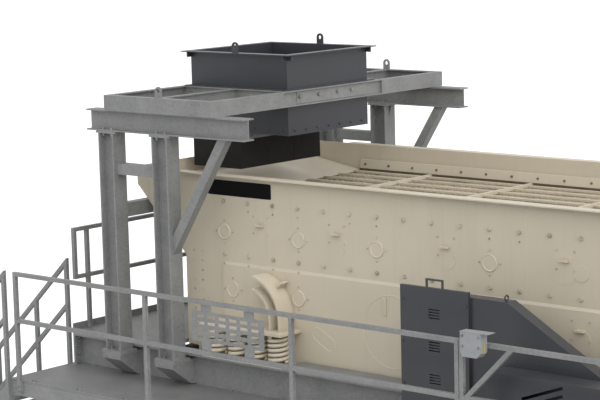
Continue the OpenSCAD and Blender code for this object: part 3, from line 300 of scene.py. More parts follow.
@dataclass(frozen=True)
class PowderCoat(Finish):
    """Polyester powder coat on folded sheet: finely pebbled, with pale scuffs and dust on top."""

    base: str
    cloud: str
    # colour of scuffs and dust, and of bright edges as wear and painted highlight
    scuff_dust_and_highlight: str

    def shade(self, tree: Tree, place: Socket) -> dict[str, Any]:
        """Mixes soft clouds, scuffs, dust and bright edges (wear and painted highlight) over the coat, and
        pebbles its surface.

        Args:
            tree: Node tree of the material.
            place: Object coordinates, in metres.

        Returns:
            Values and sockets for the surface shader.
        """
        # clouds 420 mm wide
        clouds = put(tree, "TexNoise", {"Vector": place, "Scale": per(420), "Detail": 3.0}).outputs[0]
        pair = {0: clouds, 6: linear(self.base), 7: linear(self.cloud)}
        tone = put(tree, "Mix", pair, data_type="RGBA").outputs[2]
        # scuffs some 35 mm long
        rough = {"Vector": place, "Scale": per(35), "Detail": 8.0, "Roughness": 0.7}
        marks = put(tree, "TexNoise", rough).outputs[0]
        limits = {"Value": marks, "From Min": 0.62, "From Max": 0.8, "To Max": 0.25}
        mark = put(tree, "MapRange", limits).outputs[0]
        scuffed = put(tree, "Mix", {0: mark, 6: tone, 7: linear(self.scuff_dust_and_highlight)}, data_type="RGBA").outputs[2]
        # thin dust on top, and bright edges 5 mm wide: wear and painted highlight
        lies = self.settled(tree, clouds, 0.4)
        dusty = put(tree, "Mix", {0: lies, 6: scuffed, 7: linear(self.scuff_dust_and_highlight)}, data_type="RGBA").outputs[2]
        edge = self.edges(tree, 5.0, 0.35)
        worn_and_highlit = put(tree, "Mix", {0: edge, 6: dusty, 7: linear(self.scuff_dust_and_highlight)}, data_type="RGBA").outputs[2]
        # pebbles of the powder, drawn 5 mm wide so that they show
        pebble = put(tree, "TexNoise", {"Vector": place, "Scale": per(5), "Detail": 2.0}).outputs[0]
        bump = put(tree, "Bump", {"Height": pebble, "Strength": 0.2, "Distance": 0.0008}).outputs[0]
        gloss = put(tree, "MapRange", {"Value": marks, "To Min": 0.30, "To Max": 0.46}).outputs[0]
        return {"Base Color": worn_and_highlit, "Roughness": gloss, "Normal": bump, "Specular IOR Level": 0.4}


@dataclass(frozen=True)
class HotDipZinc(Finish):
    """Hot dip galvanised steel: grey crystals of zinc, clouded and dulled by a film of weathering."""

    dark: str
    light: str
    # pale edge colour: wear from rubbing and painted highlight
    rubbed_and_highlight: str = "#b9bab8"
    crystal_mm: float = 16.0
    metallic: float = 0.08

    def relief(self, tree: Tree, place: Socket) -> Socket:
        """Gives the height of the zinc's ripples, 14 mm wide."""
        return put(tree, "TexNoise", {"Vector": place, "Scale": per(14), "Detail": 2.0}).outputs[0]

    def shade(self, tree: Tree, place: Socket) -> dict[str, Any]:
        """Gives each crystal its own grey and gloss, clouds it, and pales the edges with wear and a painted
        highlight.

        Args:
            tree: Node tree of the material.
            place: Object coordinates, in metres.

        Returns:
            Values and sockets for the surface shader.
        """
        # crystals drawn 16 mm wide so that they show, their borders bent by a noise 90 mm wide
        bend = put(tree, "TexNoise", {"Vector": place, "Scale": per(90), "Detail": 2.0}).outputs[1]
        bent = put(tree, "Mix", {0: 0.04, 4: place, 5: bend}, data_type="VECTOR").outputs[1]
        cells = put(tree, "TexVoronoi", {"Vector": bent, "Scale": per(self.crystal_mm)}).outputs["Color"]
        crystal = put(tree, "SeparateColor", {0: cells}).outputs[0]
        # clouds of weathering 240 mm wide
        cloud = put(tree, "TexNoise", {"Vector": place, "Scale": per(240), "Detail": 5.0}).outputs[0]
        both = put(tree, "Mix", {0: 0.68, 2: crystal, 3: cloud}).outputs[0]
        shade = put(tree, "MapRange", {"Value": both, "From Min": 0.2, "From Max": 0.8}).outputs[0]
        pair = {0: shade, 6: linear(self.dark), 7: linear(self.light)}
        tone = put(tree, "Mix", pair, data_type="RGBA").outputs[2]
        # pale band 4 mm wide along the outer edges: wear from rubbing and a painted highlight
        edge = self.edges(tree, 4.0, 0.4)
        worn_and_highlit = put(tree, "Mix", {0: edge, 6: tone, 7: linear(self.rubbed_and_highlight)}, data_type="RGBA").outputs[2]
        gloss = put(tree, "MapRange", {"Value": crystal, "To Min": 0.46, "To Max": 0.66}).outputs[0]
        height = self.relief(tree, place)
        bump = put(tree, "Bump", {"Height": height, "Strength": 0.2, "Distance": 0.001}).outputs[0]
        return {"Base Color": worn_and_highlit, "Metallic": self.metallic, "Roughness": gloss, "Normal": bump}


@dataclass(frozen=True)
class StuddedFloor(HotDipZinc):
    """Galvanised floor plate pressed with round studs, drawn 60 mm apart so that they show."""

    stud_mm: float = 60.0

    def relief(self, tree: Tree, place: Socket) -> Socket:
        """Raises a stud wherever sin(2 pi x / pitch) times sin(2 pi y / pitch) passes a half.

        Args:
            tree: Node tree of the material.
            place: Object coordinates, in metres.

        Returns:
            Height of the studs.
        """
        axis = put(tree, "SeparateXYZ", {0: place}).outputs
        turns = 2.0 * math.pi * per(self.stud_mm)
        waves = []
        for k in (0, 1):
            angle = put(tree, "Math", {0: axis[k], 1: turns}, operation="MULTIPLY").outputs[0]
            waves.append(put(tree, "Math", {0: angle}, operation="SINE").outputs[0])
        hill = put(tree, "Math", {0: waves[0], 1: waves[1]}, operation="MULTIPLY").outputs[0]
        limits = {"Value": hill, "From Min": 0.4, "From Max": 0.6, "To Max": 3.0}
        return put(tree, "MapRange", limits).outputs[0]


@dataclass(frozen=True)
class RubberSheet(Finish):
    """Cut sheet of black rubber: dull, with a pale bloom and fine lengthwise drag marks."""

    base: str
    bloom: str

    def shade(self, tree: Tree, place: Socket) -> dict[str, Any]:
        """Mixes a patchy bloom into the black and drags fine lines down the sheet.

        Args:
            tree: Node tree of the material.
            place: Object coordinates, in metres.

        Returns:
            Values and sockets for the surface shader.
        """
        # bloom in patches 110 mm wide
        patch = put(tree, "TexNoise", {"Vector": place, "Scale": per(110), "Detail": 5.0}).outputs[0]
        limits = {"Value": patch, "From Min": 0.45, "From Max": 0.8, "To Max": 0.5}
        some = put(tree, "MapRange", limits).outputs[0]
        pair = {0: some, 6: linear(self.base), 7: linear(self.bloom)}
        tone = put(tree, "Mix", pair, data_type="RGBA").outputs[2]
        # marks 240 mm long, drawn 9 mm wide so that they show
        tall = put(tree, "Mapping", {"Vector": place, "Scale": (per(9), per(9), per(240))}).outputs[0]
        drag = put(tree, "TexNoise", {"Vector": tall, "Scale": 1.0, "Detail": 3.0}).outputs[0]
        bump = put(tree, "Bump", {"Height": drag, "Strength": 0.25, "Distance": 0.001}).outputs[0]
        gloss = put(tree, "MapRange", {"Value": patch, "To Min": 0.62, "To Max": 0.85}).outputs[0]
        return {"Base Color": tone, "Roughness": gloss, "Normal": bump, "Specular IOR Level": 0.3}


@dataclass(frozen=True)
class DrawnWire(Finish):
    """Drawn and crimped spring steel wire: dusted with stone, polished only on its high points."""

    base: str
    dust: str
    metallic: float = 0.35

    def shade(self, tree: Tree, place: Socket) -> dict[str, Any]:
        """Lays dust in patches over the steel and roughens it there.

        Args:
            tree: Node tree of the material.
            place: Object coordinates, in metres.

        Returns:
            Values and sockets for the surface shader.
        """
        # dust in patches 240 mm wide
        patch = put(tree, "TexNoise", {"Vector": place, "Scale": per(240), "Detail": 6.0}).outputs[0]
        lies = put(tree, "MapRange", {"Value": patch, "From Min": 0.35, "From Max": 0.6}).outputs[0]
        pair = {0: lies, 6: linear(self.base), 7: linear(self.dust)}
        tone = put(tree, "Mix", pair, data_type="RGBA").outputs[2]
        gloss = put(tree, "MapRange", {"Value": lies, "To Min": 0.42, "To Max": 0.75}).outputs[0]
        return {"Base Color": tone, "Metallic": self.metallic, "Roughness": gloss}


@dataclass(frozen=True)
class PlatedFastener(Finish):
    """Zinc plated or painted fastener: each head a little lighter or darker than the next."""

    dark: str
    light: str
    metallic: float

    def shade(self, tree: Tree, place: Socket) -> dict[str, Any]:
        """Changes tone over 90 mm, so that neighbouring heads differ, and over 6 mm within a head.

        Args:
            tree: Node tree of the material.
            place: Object coordinates, in metres.

        Returns:
            Values and sockets for the surface shader.
        """
        head = put(tree, "TexNoise", {"Vector": place, "Scale": per(90), "Detail": 0.0}).outputs[0]
        fine = put(tree, "TexNoise", {"Vector": place, "Scale": per(6), "Detail": 3.0}).outputs[0]
        both = put(tree, "Mix", {0: 0.4, 2: head, 3: fine}).outputs[0]
        shade = put(tree, "MapRange", {"Value": both, "From Min": 0.3, "From Max": 0.7}).outputs[0]
        pair = {0: shade, 6: linear(self.dark), 7: linear(self.light)}
        tone = put(tree, "Mix", pair, data_type="RGBA").outputs[2]
        gloss = put(tree, "MapRange", {"Value": fine, "To Min": 0.35, "To Max": 0.55}).outputs[0]
        return {"Base Color": tone, "Metallic": self.metallic, "Roughness": gloss}


@dataclass(frozen=True)
class MouldedPlastic(Finish):
    """Injection moulded plastic or enamelled box: even colour with a fine spark texture."""

    base: str
    shade_colour: str
    roughness: float = 0.45
    specular: float = 0.5

    def shade(self, tree: Tree, place: Socket) -> dict[str, Any]:
        """Adds a slow drift of tone and a pebble drawn 3 mm wide so that it shows.

        Args:
            tree: Node tree of the material.
            place: Object coordinates, in metres.

        Returns:
            Values and sockets for the surface shader.
        """
        # tone that drifts over 70 mm
        slow = put(tree, "TexNoise", {"Vector": place, "Scale": per(70), "Detail": 3.0}).outputs[0]
        pair = {0: slow, 6: linear(self.base), 7: linear(self.shade_colour)}
        tone = put(tree, "Mix", pair, data_type="RGBA").outputs[2]
        spark = put(tree, "TexNoise", {"Vector": place, "Scale": per(3), "Detail": 1.0}).outputs[0]
        bump = put(tree, "Bump", {"Height": spark, "Strength": 0.15, "Distance": 0.0004}).outputs[0]
        dull = {"Value": slow, "To Min": self.roughness - 0.06, "To Max": self.roughness + 0.08}
        gloss = put(tree, "MapRange", dull).outputs[0]
        return {"Base Color": tone, "Roughness": gloss, "Normal": bump, "Specular IOR Level": self.specular}


# the enamel's fourth colour tints rain runs and paints shade into inner corners; its fifth is the pale edge,
# partly wear from rubbing and partly a painted highlight
ENAMEL = SprayedEnamel("beige enamel sprayed", "#c8beaa", "#bab09d", "#d4cab6", "#84775f", "#eae1ce")
COAT = PowderCoat("charcoal powder coat", "#2f3034", "#38393d", "#6d6e70")
ZINC = HotDipZinc("steel hot dip galvanised", "#707171", "#8b8b89")
FLOOR_ZINC = StuddedFloor("floor plate pressed and galvanised", "#6c6d6d", "#828280")
RUBBER = RubberSheet("black rubber sheet cut", "#141312", "#2a2826")
# dark brown rubber for the strips along the clamp rails' feet: they paint the shadow gap under the rails
PAINTED_SHADOW_RUBBER = RubberSheet("dark rubber strip painted as shadow gap", "#574b3b", "#7d705b")
WIRE = DrawnWire("spring steel wire crimped", "#a89c86", "#c2b69e")
# beige painted bolts, drawn darker than the plate's paint: the darker tones paint shade on the heads
BEIGE_BOLT_WITH_PAINTED_SHADE = PlatedFastener("beige painted fastener", "#857b69", "#cdc2ad", 0.0)
BEIGE_SCREW = PlatedFastener("beige overpainted screw", "#988d79", "#c6bba5", 0.0)
RAIL_BOLT = PlatedFastener("blackened rail fastener", "#4f483d", "#7d7362", 0.0)
ZINC_BOLT = PlatedFastener("zinc plated fastener", "#68696b", "#929393", 0.4)
DARK_BOLT = PlatedFastener("black phosphate fastener", "#26272a", "#4a4b4e", 0.2)
CASE = MouldedPlastic("light grey enamelled box", "#989a9b", "#868889")
YELLOW = MouldedPlastic("yellow moulded housing", "#a8965a", "#978650")
RED = MouldedPlastic("red moulded button", "#a01e1c", "#861715", 0.35)
BLACK = MouldedPlastic("black moulded gland", "#1c1c1d", "#262627", 0.5)
LABEL = MouldedPlastic("black enamelled label plate", "#080809", "#0e0e0f", 0.7, 0.1)

NODE_FINISH: dict[Slot, Finish] = {
    Slot.BEIGE: ENAMEL, Slot.CHARCOAL: COAT, Slot.ZINC: ZINC, Slot.FLOOR: FLOOR_ZINC,
    Slot.RUBBER: RUBBER, Slot.CLOTH: WIRE, Slot.CASE: CASE,
}


@dataclass
class Shell:
    """Points of a surface and its faces.

    Attributes:
        points: Points in metres, one row each.
        faces: Corner numbers, one array for each number of corners.
    """

    points: Points
    faces: list[Corners]

    def stamped(self, places: Rows, normal: Sequence[float]) -> "Shell":
        """Repeats the shell: point = place + turn times point, where turn takes Z to the normal.

        Args:
            places: Where each copy goes, one row each.
            normal: Direction that the shell's Z takes.

        Returns:
            One shell that holds all copies.
        """
        places = np.asarray(places, float).reshape(-1, 3)
        axis = np.asarray(normal, float) / np.linalg.norm(normal)
        across = np.cross(axis, ALONG if abs(axis[0]) < 0.9 else ACROSS)
        across /= np.linalg.norm(across)
        turn = np.stack([np.cross(across, axis), across, axis], axis=1)
        points = (self.points @ turn.T)[None] + places[:, None]
        step = len(self.points) * np.arange(len(places))[:, None, None]
        return Shell(points.reshape(-1, 3), [(f[None] + step).reshape(-1, f.shape[1]) for f in self.faces])


def joined(shells: Sequence[Shell]) -> Shell:
    """Joins shells into one by adding up their corner numbers.

    Args:
        shells: The shells, in any order.

    Returns:
        One shell that holds them all.
    """
    start = np.cumsum([0] + [len(s.points) for s in shells[:-1]])
    faces = [f + k for s, k in zip(shells, start) for f in s.faces]
    return Shell(np.concatenate([s.points for s in shells]), faces)


def skin(rows: int, cols: int, ring: bool = False) -> Corners:
    """Numbers the four-sided faces of a net of points.

    Args:
        rows: Number of rows.
        cols: Number of points in a row, the last next to the first.
        ring: True if the last row is next to the first too.

    Returns:
        Four corner numbers for each face.
    """
    i, j = np.meshgrid(np.arange(rows if ring else rows - 1), np.arange(cols), indexing="ij")
    k, m = (j + 1) % cols, (i + 1) % rows
    return np.stack([i * cols + j, i * cols + k, m * cols + k, m * cols + j], -1).reshape(-1, 4)


def caps(rows: int, cols: int) -> Corners:
    """Numbers the two faces that close a net's first and last row.

    Args:
        rows: Number of rows.
        cols: Number of points in a row.

    Returns:
        The corner numbers of both faces.
    """
    return np.stack([np.arange(cols)[::-1], (rows - 1) * cols + np.arange(cols)])


def lathe(radii: Points, heights: Rows) -> Shell:
    """Turned shell: at row i and angle a, point = (r cos a, r sin a, h), closed on top and bottom.

    Args:
        radii: Radius at each row and column.
        heights: Height of each row.

    Returns:
        The shell, its axis along Z.
    """
    rows, cols = radii.shape
    angle = 2.0 * math.pi * np.arange(cols) / cols
    z = np.broadcast_to(np.asarray(heights, float)[:, None], radii.shape)
    points = np.stack([radii * np.cos(angle), radii * np.sin(angle), z], -1)
    return Shell(points.reshape(-1, 3), [skin(rows, cols), caps(rows, cols)])


def pad(size: tuple[float, float, float], chamfer: float) -> Shell:
    """Rectangular pad with a chamfered top: four corners in three rows, the last drawn in by the chamfer.

    Args:
        size: Length along X, width along Y and height.
        chamfer: Width and height of the chamfer.

    Returns:
        The pad, which stands on the middle of Z = 0.
    """
    corner = 0.5 * np.array([[1.0, 1.0], [-1.0, 1.0], [-1.0, -1.0], [1.0, -1.0]])
    inset = np.array([0.0, 0.0, 2.0 * chamfer])[:, None, None]
    flat = corner[None] * (np.array(size[:2]) - inset)
    heights = np.array([0.0, size[2] - chamfer, size[2]])[:, None, None]
    points = np.concatenate([flat, np.broadcast_to(heights, (3, 4, 1))], -1)
    return Shell(points.reshape(-1, 3), [skin(3, 4), caps(3, 4)])


@dataclass(frozen=True)
class Fastener:
    """Hexagon fastener of a standard size.

    Attributes:
        flats: Width across the flats, in metres.
        washer: Diameter of its washer.
        height: Height of its head or nut.
        points: Points in a ring, a multiple of six.
    """

    flats: float
    washer: float
    height: float
    points: int = 12

    def rings(self) -> tuple[Points, Points, float]:
        """Gives the outlines: the hexagon's radius is half the flats over the cosine from the nearest flat.

        Returns:
            Radii of the hexagon and of the washer at each angle, and the washer's thickness.
        """
        angle = 2.0 * math.pi * np.arange(self.points) / self.points
        hexagon = self.flats / 2.0 / np.cos((angle + math.pi / 6.0) % (math.pi / 3.0) - math.pi / 6.0)
        return hexagon, np.full(self.points, self.washer / 2.0), 0.12 * self.flats

    def head(self) -> Shell:
        """Gives a bolt's head on its washer, its top corners cut to a circle.

        Returns:
            The shell, which stands on Z = 0.
        """
        hexagon, disc, thick = self.rings()
        cut = np.minimum(hexagon, 0.5 * self.flats) * 0.96
        heights = [0.0, thick, thick, thick + 0.88 * self.height, thick + self.height]
        return lathe(np.stack([disc, disc, hexagon, hexagon, cut]), heights)

    def nut(self, stud: float) -> Shell:
        """Gives a nut on its washer, with the end of a stud through it.

        Args:
            stud: Length of the stud over the nut.

        Returns:
            The shell, which stands on Z = 0.
        """
        hexagon, disc, thick = self.rings()
        rod = np.full(self.points, 0.31 * self.flats)
        top = thick + self.height
        heights = [0.0, thick, thick, top, top, top + 0.85 * stud, top + stud]
        return lathe(np.stack([disc, disc, hexagon, hexagon, rod, rod, 0.8 * rod]), heights)


M8 = Fastener(0.014, 0.018, 0.007)
M10 = Fastener(0.017, 0.022, 0.008)
M12 = Fastener(0.019, 0.026, 0.010)
M16 = Fastener(0.024, 0.031, 0.012)
M20 = Fastener(0.030, 0.040, 0.016)
M24 = Fastener(0.036, 0.050, 0.022)


def swept(paths: Points, ring: Points, side: Sequence[float]) -> Shell:
    """Carries a ring along flat paths: point = path + u times side + v times (tangent x side).

    Args:
        paths: Points of each path, as paths by points by three.
        ring: The ring's u and v, in the order from side towards tangent x side.
        side: Direction at right angles to all paths.

    Returns:
        One shell of all the sweeps, with closed ends.
    """
    count, length, _ = paths.shape
    size = len(ring)
    across = np.asarray(side, float)
    tangent = np.gradient(paths, axis=1)
    tangent /= np.linalg.norm(tangent, axis=2, keepdims=True)
    over = np.cross(tangent, across)
    points = paths[:, :, None] + ring[:, 0, None] * across + over[:, :, None] * ring[:, 1, None]
    base = (np.arange(count) * length * size)[:, None, None]
    walls = (skin(length, size)[None] + base).reshape(-1, 4)
    return Shell(points.reshape(-1, 3), [walls, (caps(length, size)[None] + base).reshape(-1, size)])


def circle(diameter: float, count: int) -> Points:
    """Gives a ring of points on a circle.

    Args:
        diameter: Diameter of the circle.
        count: Number of points.

    Returns:
        The points, one row each.
    """
    angle = 2.0 * math.pi * (np.arange(count) + 0.5) / count
    return 0.5 * diameter * np.stack([np.cos(angle), np.sin(angle)], 1)


def blocks(low: Rows, high: Rows) -> Shell:
    """Bars with square ends: corner = low + bit times (high - low), for the eight bits of each bar.

    Args:
        low: Lowest corner of each bar.
        high: Highest corner of each bar.

    Returns:
        One shell of all the bars.
    """
    low, high = (np.asarray(corner, float).reshape(-1, 1, 3) for corner in (low, high))
    bit = (np.arange(8)[:, None] >> np.array([2, 1, 0])) & 1
    points = low + bit[None] * (high - low)
    face = np.array([[0, 1, 3, 2], [4, 6, 7, 5], [0, 4, 5, 1], [2, 3, 7, 6], [0, 2, 6, 4], [1, 5, 7, 3]])
    faces = face[None] + 8 * np.arange(len(low))[:, None, None]
    return Shell(points.reshape(-1, 3), [faces.reshape(-1, 4)])


def ring_bolt(bore: float, bar: float) -> Shell:
    """Ring of round bar: at angles a and b, point = (r sin b, (R + r cos b) cos a, (R + r cos b) sin a).

    Args:
        bore: Diameter inside the ring.
        bar: Diameter of the bar.

    Returns:
        The ring, upright across X, its lowest point on Z = 0.
    """
    around, across = 20, 8
    a = 2.0 * math.pi * np.arange(around)[:, None] / around
    b = -2.0 * math.pi * np.arange(across)[None] / across
    big, small = (bore + bar) / 2.0, bar / 2.0
    reach = big + small * np.cos(b)
    side = np.broadcast_to(small * np.sin(b), (around, across))
    points = np.stack([side, reach * np.cos(a), reach * np.sin(a) + big + small], -1)
    return Shell(points.reshape(-1, 3), [skin(around, across, ring=True)])


def spaced(low: float, high: float, pitch: float) -> Points:
    """Gives even places between two ends.

    Args:
        low: First place.
        high: Last place.
        pitch: Distance that neighbours have, about.

    Returns:
        The places.
    """
    return np.linspace(low, high, max(2, int(round((high - low) / pitch)) + 1))


def grid(xs: float | Rows, ys: float | Rows, zs: float | Rows) -> Points:
    """Gives every combination of places.

    Args:
        xs: One or more X.
        ys: One or more Y.
        zs: One or more Z.

    Returns:
        The points, one row each.
    """
    axes = [np.atleast_1d(v) for v in (xs, ys, zs)]
    return np.stack(np.meshgrid(*axes, indexing="ij"), -1).reshape(-1, 3)


def about(middles: Sequence[float], half: float) -> Points:
    """Gives two places about each middle.

    Args:
        middles: The middles.
        half: Distance from a middle to its places.

    Returns:
        The places, two for each middle.
    """
    return np.add.outer(np.asarray(middles, float), [-half, half]).ravel()


class SubAssembly:
    """A group of pieces that is built and dressed together."""

    def build(self) -> None:
        """Makes the pieces."""
        raise NotImplementedError

    def add(self, name: str, shell: Shell, finish: Finish, slot: Slot, stands_for: Sequence[str] = (),
            smooth: bool = False) -> None:
        """Puts a shell into the scene as a piece.

        Args:
            name: Name of the piece.
            shell: Its surface.
            finish: Its finish.
            slot: The record's slot that the finish belongs to; not used.
            stands_for: CAD nodes that it is shown in place of.
            smooth: True for a rounded look across its faces.
        """
        mesh = bpy.data.meshes.new(name)
        corners = np.concatenate([f.ravel() for f in shell.faces]).astype(np.int32)
        sizes = np.concatenate([np.full(len(f), f.shape[1]) for f in shell.faces])
        mesh.vertices.add(len(shell.points))
        mesh.vertices.foreach_set("co", shell.points.astype(np.float32).ravel())
        mesh.loops.add(len(corners))
        mesh.loops.foreach_set("vertex_index", corners)
        mesh.polygons.add(len(sizes))
        starts = np.concatenate([[0], np.cumsum(sizes)[:-1]]).astype(np.int32)
        mesh.polygons.foreach_set("loop_start", starts)
        mesh.polygons.foreach_set("use_smooth", np.full(len(sizes), smooth))
        mesh.update(calc_edges=True)
        mesh.validate()
        mesh.materials.append(finish.material())
        piece = bpy.data.objects.new(name, mesh)
        bpy.context.scene.collection.objects.link(piece)
        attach(piece, "root")
        if stands_for:
            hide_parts(*stands_for)
        LOG.info("%s: %d faces, %s", name, len(mesh.polygons), finish.name)


@dataclass
class ScreenBody(SubAssembly):
    """Fasteners, cover rims, dark strips under the clamp rails that paint their shadow gaps, weld beads and
    bare label plate of the vibrating box.

    Attributes:
        plate_y: Outer face of a side plate, from the middle.
        doubler_y: Outer face of its doubler.
        bolt_x: Place of the first bolt.
        pitch: Bolt pitch.
        bolts: Number of bolts in a row.
        rows: Heights of the two long rows.
        upper: Bolts of the upper row that have a small one below them.
        upper_drop: Drop from the upper row to its small bolts.
        lower: Bolts of the lower row that have a small one below them.
        lower_drop: Drop from the lower row to its small bolts.
        edge_x: Places of the two upright rows at the feed end.
        edge_z: Lowest and highest bolt of the upright rows.
        edge_count: Bolts in an upright row.
        cover_d: Diameter of the round covers.
        cover_z: Height of the round covers.
        covers: Covers with a rim, counted in bolts.
        low_covers: Covers on the doubler, counted in bolts.
        low_cover_z: Height of the covers on the doubler.
        screw_r: Distance from a cover's middle to its screws.
        rim: Rows of a cover's rim: radius past the cover's edge, and height.
        rim_points: Points in a row of a rim.
        capped: Capped covers with a tab, counted in bolts.
        low_cap: The capped cover on the doubler, counted in bolts, and its height.
        cap_t: Thickness of a cap.
        tab_up: Height of a cap's tab over the cap's middle.
        tab_bolt: Distance from the tab to its bolts, along and up.
        rail_bolt: Place of the clamp rails' bolts from the middle, and their height.
        rail_shift: Distance that the clamp rails' bolts are ahead of the plates' bolts.
        rail_slope: Run and rise of the direction that the clamp rails face.
        shadow_strip: Inner face of the dark rubber strip under a clamp rail, which paints the shadow gap
            there, from the middle, its width and its height.
        seam_x: Place of the welded seam.
        seam_z: Bottom and top of the seam.
        seam_d: Diameter of the seam's bead.
        seam_in: Depth of the bead's middle behind the plate's face.
        seam_points: Rings along the seam.
        ripple: Height and length of the bead's ripple.
        beads: Welded outlines on the doubler: place along and up, radius, half length and tilt of each.
        weld: Rows of an outline's bead: distance outwards from its line, and height over the doubler.
        weld_points: Points in a row of an outline.
        lug: Place along and up of the lug on the doubler.
        lug_size: Width, height and depth of the lug.
        lug_chamfer: Chamfer of the lug's edges.
        label_at: Middle of the label plate, along and up.
        label_half: Half its length and height.
        label_rows: Rows of its edge: distance inwards, and height over the side plate.
        label_points: Points in a row of its edge.
        label_power: Power of its superellipse, which squares its corners.
    """

    plate_y: float = 1.229
    doubler_y: float = 1.241
    bolt_x: float = -0.76092
    pitch: float = 0.3077
    bolts: int = 20
    rows: tuple[float, float] = (4.354, 3.850)
    upper: tuple[int, ...] = (1, 2, 3, 5, 6, 10, 11, 14)
    upper_drop: float = 0.081
    lower: tuple[int, ...] = (0, 1, 2, 3)
    lower_drop: float = 0.088
    edge_x: tuple[float, float] = (-1.060, -1.167)
    edge_z: tuple[float, float] = (3.100, 3.850)
    edge_count: int = 9
    cover_d: float = 0.140
    cover_z: float = 4.063
    covers: tuple[float, ...] = (0, 3, 6, 10, 16)
    low_covers: tuple[float, ...] = (1 / 3, 3)
    low_cover_z: float = 3.520
    screw_r: float = 0.108
    rim: tuple[tuple[float, float], ...] = (
        (0.007, 0.0), (0.006, 0.007), (0.002, 0.0105), (-0.004, 0.0095), (-0.006, 0.0066),
    )
    rim_points: int = 40
    capped: tuple[float, ...] = (1.5, 4.5, 8.5, 12.5, 15.5)
    low_cap: tuple[float, float] = (13, 3.491)
    cap_t: float = 0.003
    tab_up: float = 0.096
    tab_bolt: tuple[float, float] = (0.088, 0.080)
    rail_bolt: tuple[float, float] = (1.1844, 4.412)
    rail_shift: float = 0.062
    rail_slope: tuple[float, float] = (0.125, 0.025)
    shadow_strip: tuple[float, float, float] = (1.1665, 0.012, 0.034)
    seam_x: float = 2.684
    seam_z: tuple[float, float] = (3.780, 4.598)
    seam_d: float = 0.011
    seam_in: float = 0.0035
    seam_points: int = 140
    ripple: tuple[float, float] = (0.0008, 0.012)
    beads: tuple[tuple[float, ...], ...] = (
        (0.450, 3.170, 0.062, 0.078, -0.50), (1.250, 3.335, 0.330, 0.0, 0.0),
    )
    weld: tuple[tuple[float, float], ...] = (
        (0.007, -0.002), (0.004, 0.003), (-0.004, 0.003), (-0.007, -0.002),
    )
    weld_points: int = 72
    lug: tuple[float, float] = (1.178, 3.555)
    lug_size: tuple[float, float, float] = (0.026, 0.160, 0.014)
    lug_chamfer: float = 0.004
    label_at: tuple[float, float] = (-0.560, 4.4805)
    label_half: tuple[float, float] = (0.400, 0.0725)
    label_rows: tuple[tuple[float, float], ...] = ((0.0, 0.0), (0.0, 0.0022), (0.0012, 0.003))
    label_points: int = 96
    label_power: float = 24.0

    def build(self) -> None:
        """Makes what both side plates and clamp rails carry, and the label plate."""
        for side in Side:
            self.plate_bolts(side)
            self.cover_rims(side)
            self.rail_bolts(side)
            self.seam(side)
            self.doubler_welds(side)
        self.label()

    def along(self, counts: Sequence[float]) -> Points:
        """Turns counts of bolts into places along the machine.

        Args:
            counts: Counts from the first bolt, which may be broken numbers.

        Returns:
            The places.
        """
        return self.bolt_x + self.pitch * np.asarray(counts, float)

    def discs(self, side: Side) -> Points:
        """Gives the middles of one side's round covers, where they meet the plate or the doubler.

        Args:
            side: Side of the machine.

        Returns:
            The middles, one row each.
        """
        high = grid(self.along(self.covers), side.value * self.plate_y, self.cover_z)
        low = grid(self.along(self.low_covers), side.value * self.doubler_y, self.low_cover_z)
        return np.concatenate([high, low])

    def plate_bolts(self, side: Side) -> None:
        """Puts rows of bolts, cover screws and cap bolts on the outer face of one side plate.

        Args:
            side: Side of the machine.
        """
        y, low_y = side.value * self.plate_y, side.value * self.doubler_y
        upper = grid(self.along(self.upper), y, self.rows[0] - self.upper_drop)
        lower = grid(self.along(self.lower), low_y, self.rows[1] - self.lower_drop)
        edge = grid(self.edge_x, y, np.linspace(*self.edge_z, self.edge_count))
        cross = self.screw_r * np.array([[1, 0, 0], [-1, 0, 0], [0, 0, 1], [0, 0, -1]])
        screws = (self.discs(side)[:, None] + cross[None]).reshape(-1, 3)
        tabs = grid(self.along(self.capped), y, self.cover_z + self.tab_up)
        low_tab = grid(self.along(self.low_cap[:1]), low_y, self.low_cap[1] + self.tab_up)
        run, rise = self.tab_bolt
        pair = [-run, run]
        four = np.concatenate([grid(pair, 0.0, rise), grid(pair, side.value * self.cap_t, -rise)])
        tab_bolts = (np.concatenate([tabs, low_tab])[:, None] + four[None]).reshape(-1, 3)
        large = M20.head().stamped(grid(self.along(range(self.bolts)), y, self.rows), side.out)
        small = M8.head().stamped(np.concatenate([upper, lower, edge]), side.out)
        # the bolts' beige is darker than the plate's: painted shade on the heads
        self.add(f"plate_bolts_{side.tag}", joined([large, small]), BEIGE_BOLT_WITH_PAINTED_SHADE, Slot.BEIGE)
        heads = M8.head().stamped(np.concatenate([screws, tab_bolts]), side.out)
        self.add(f"cover_screws_{side.tag}", heads, BEIGE_SCREW, Slot.BEIGE)

    def cover_rims(self, side: Side) -> None:
        """Turns a low rim round each cover: its rows climb from the plate and fall to the cover's face.

        Args:
            side: Side of the machine.
        """
        past, lift = np.array(self.rim).T
        radii = np.repeat(0.5 * self.cover_d + past[:, None], self.rim_points, 1)
        rims = lathe(radii, lift).stamped(self.discs(side), side.out)
        self.add(f"cover_rims_{side.tag}", rims, ENAMEL, Slot.BEIGE)

    def rail_bolts(self, side: Side) -> None:
        """Puts a row of bolts on the sloping inner face of one clamp rail, and along its foot a dark rubber
        strip that paints the shadow gap under the rail.

        Args:
            side: Side of the machine.
        """
        y, z = self.rail_bolt
        run, rise = self.rail_slope
        spots = grid(self.along(range(-1, self.bolts - 1)) + self.rail_shift, side.value * y, z)
        heads = M12.head().stamped(spots, (0.0, -side.value * run, rise))
        self.add(f"rail_bolts_{side.tag}", heads, RAIL_BOLT, Slot.BEIGE)
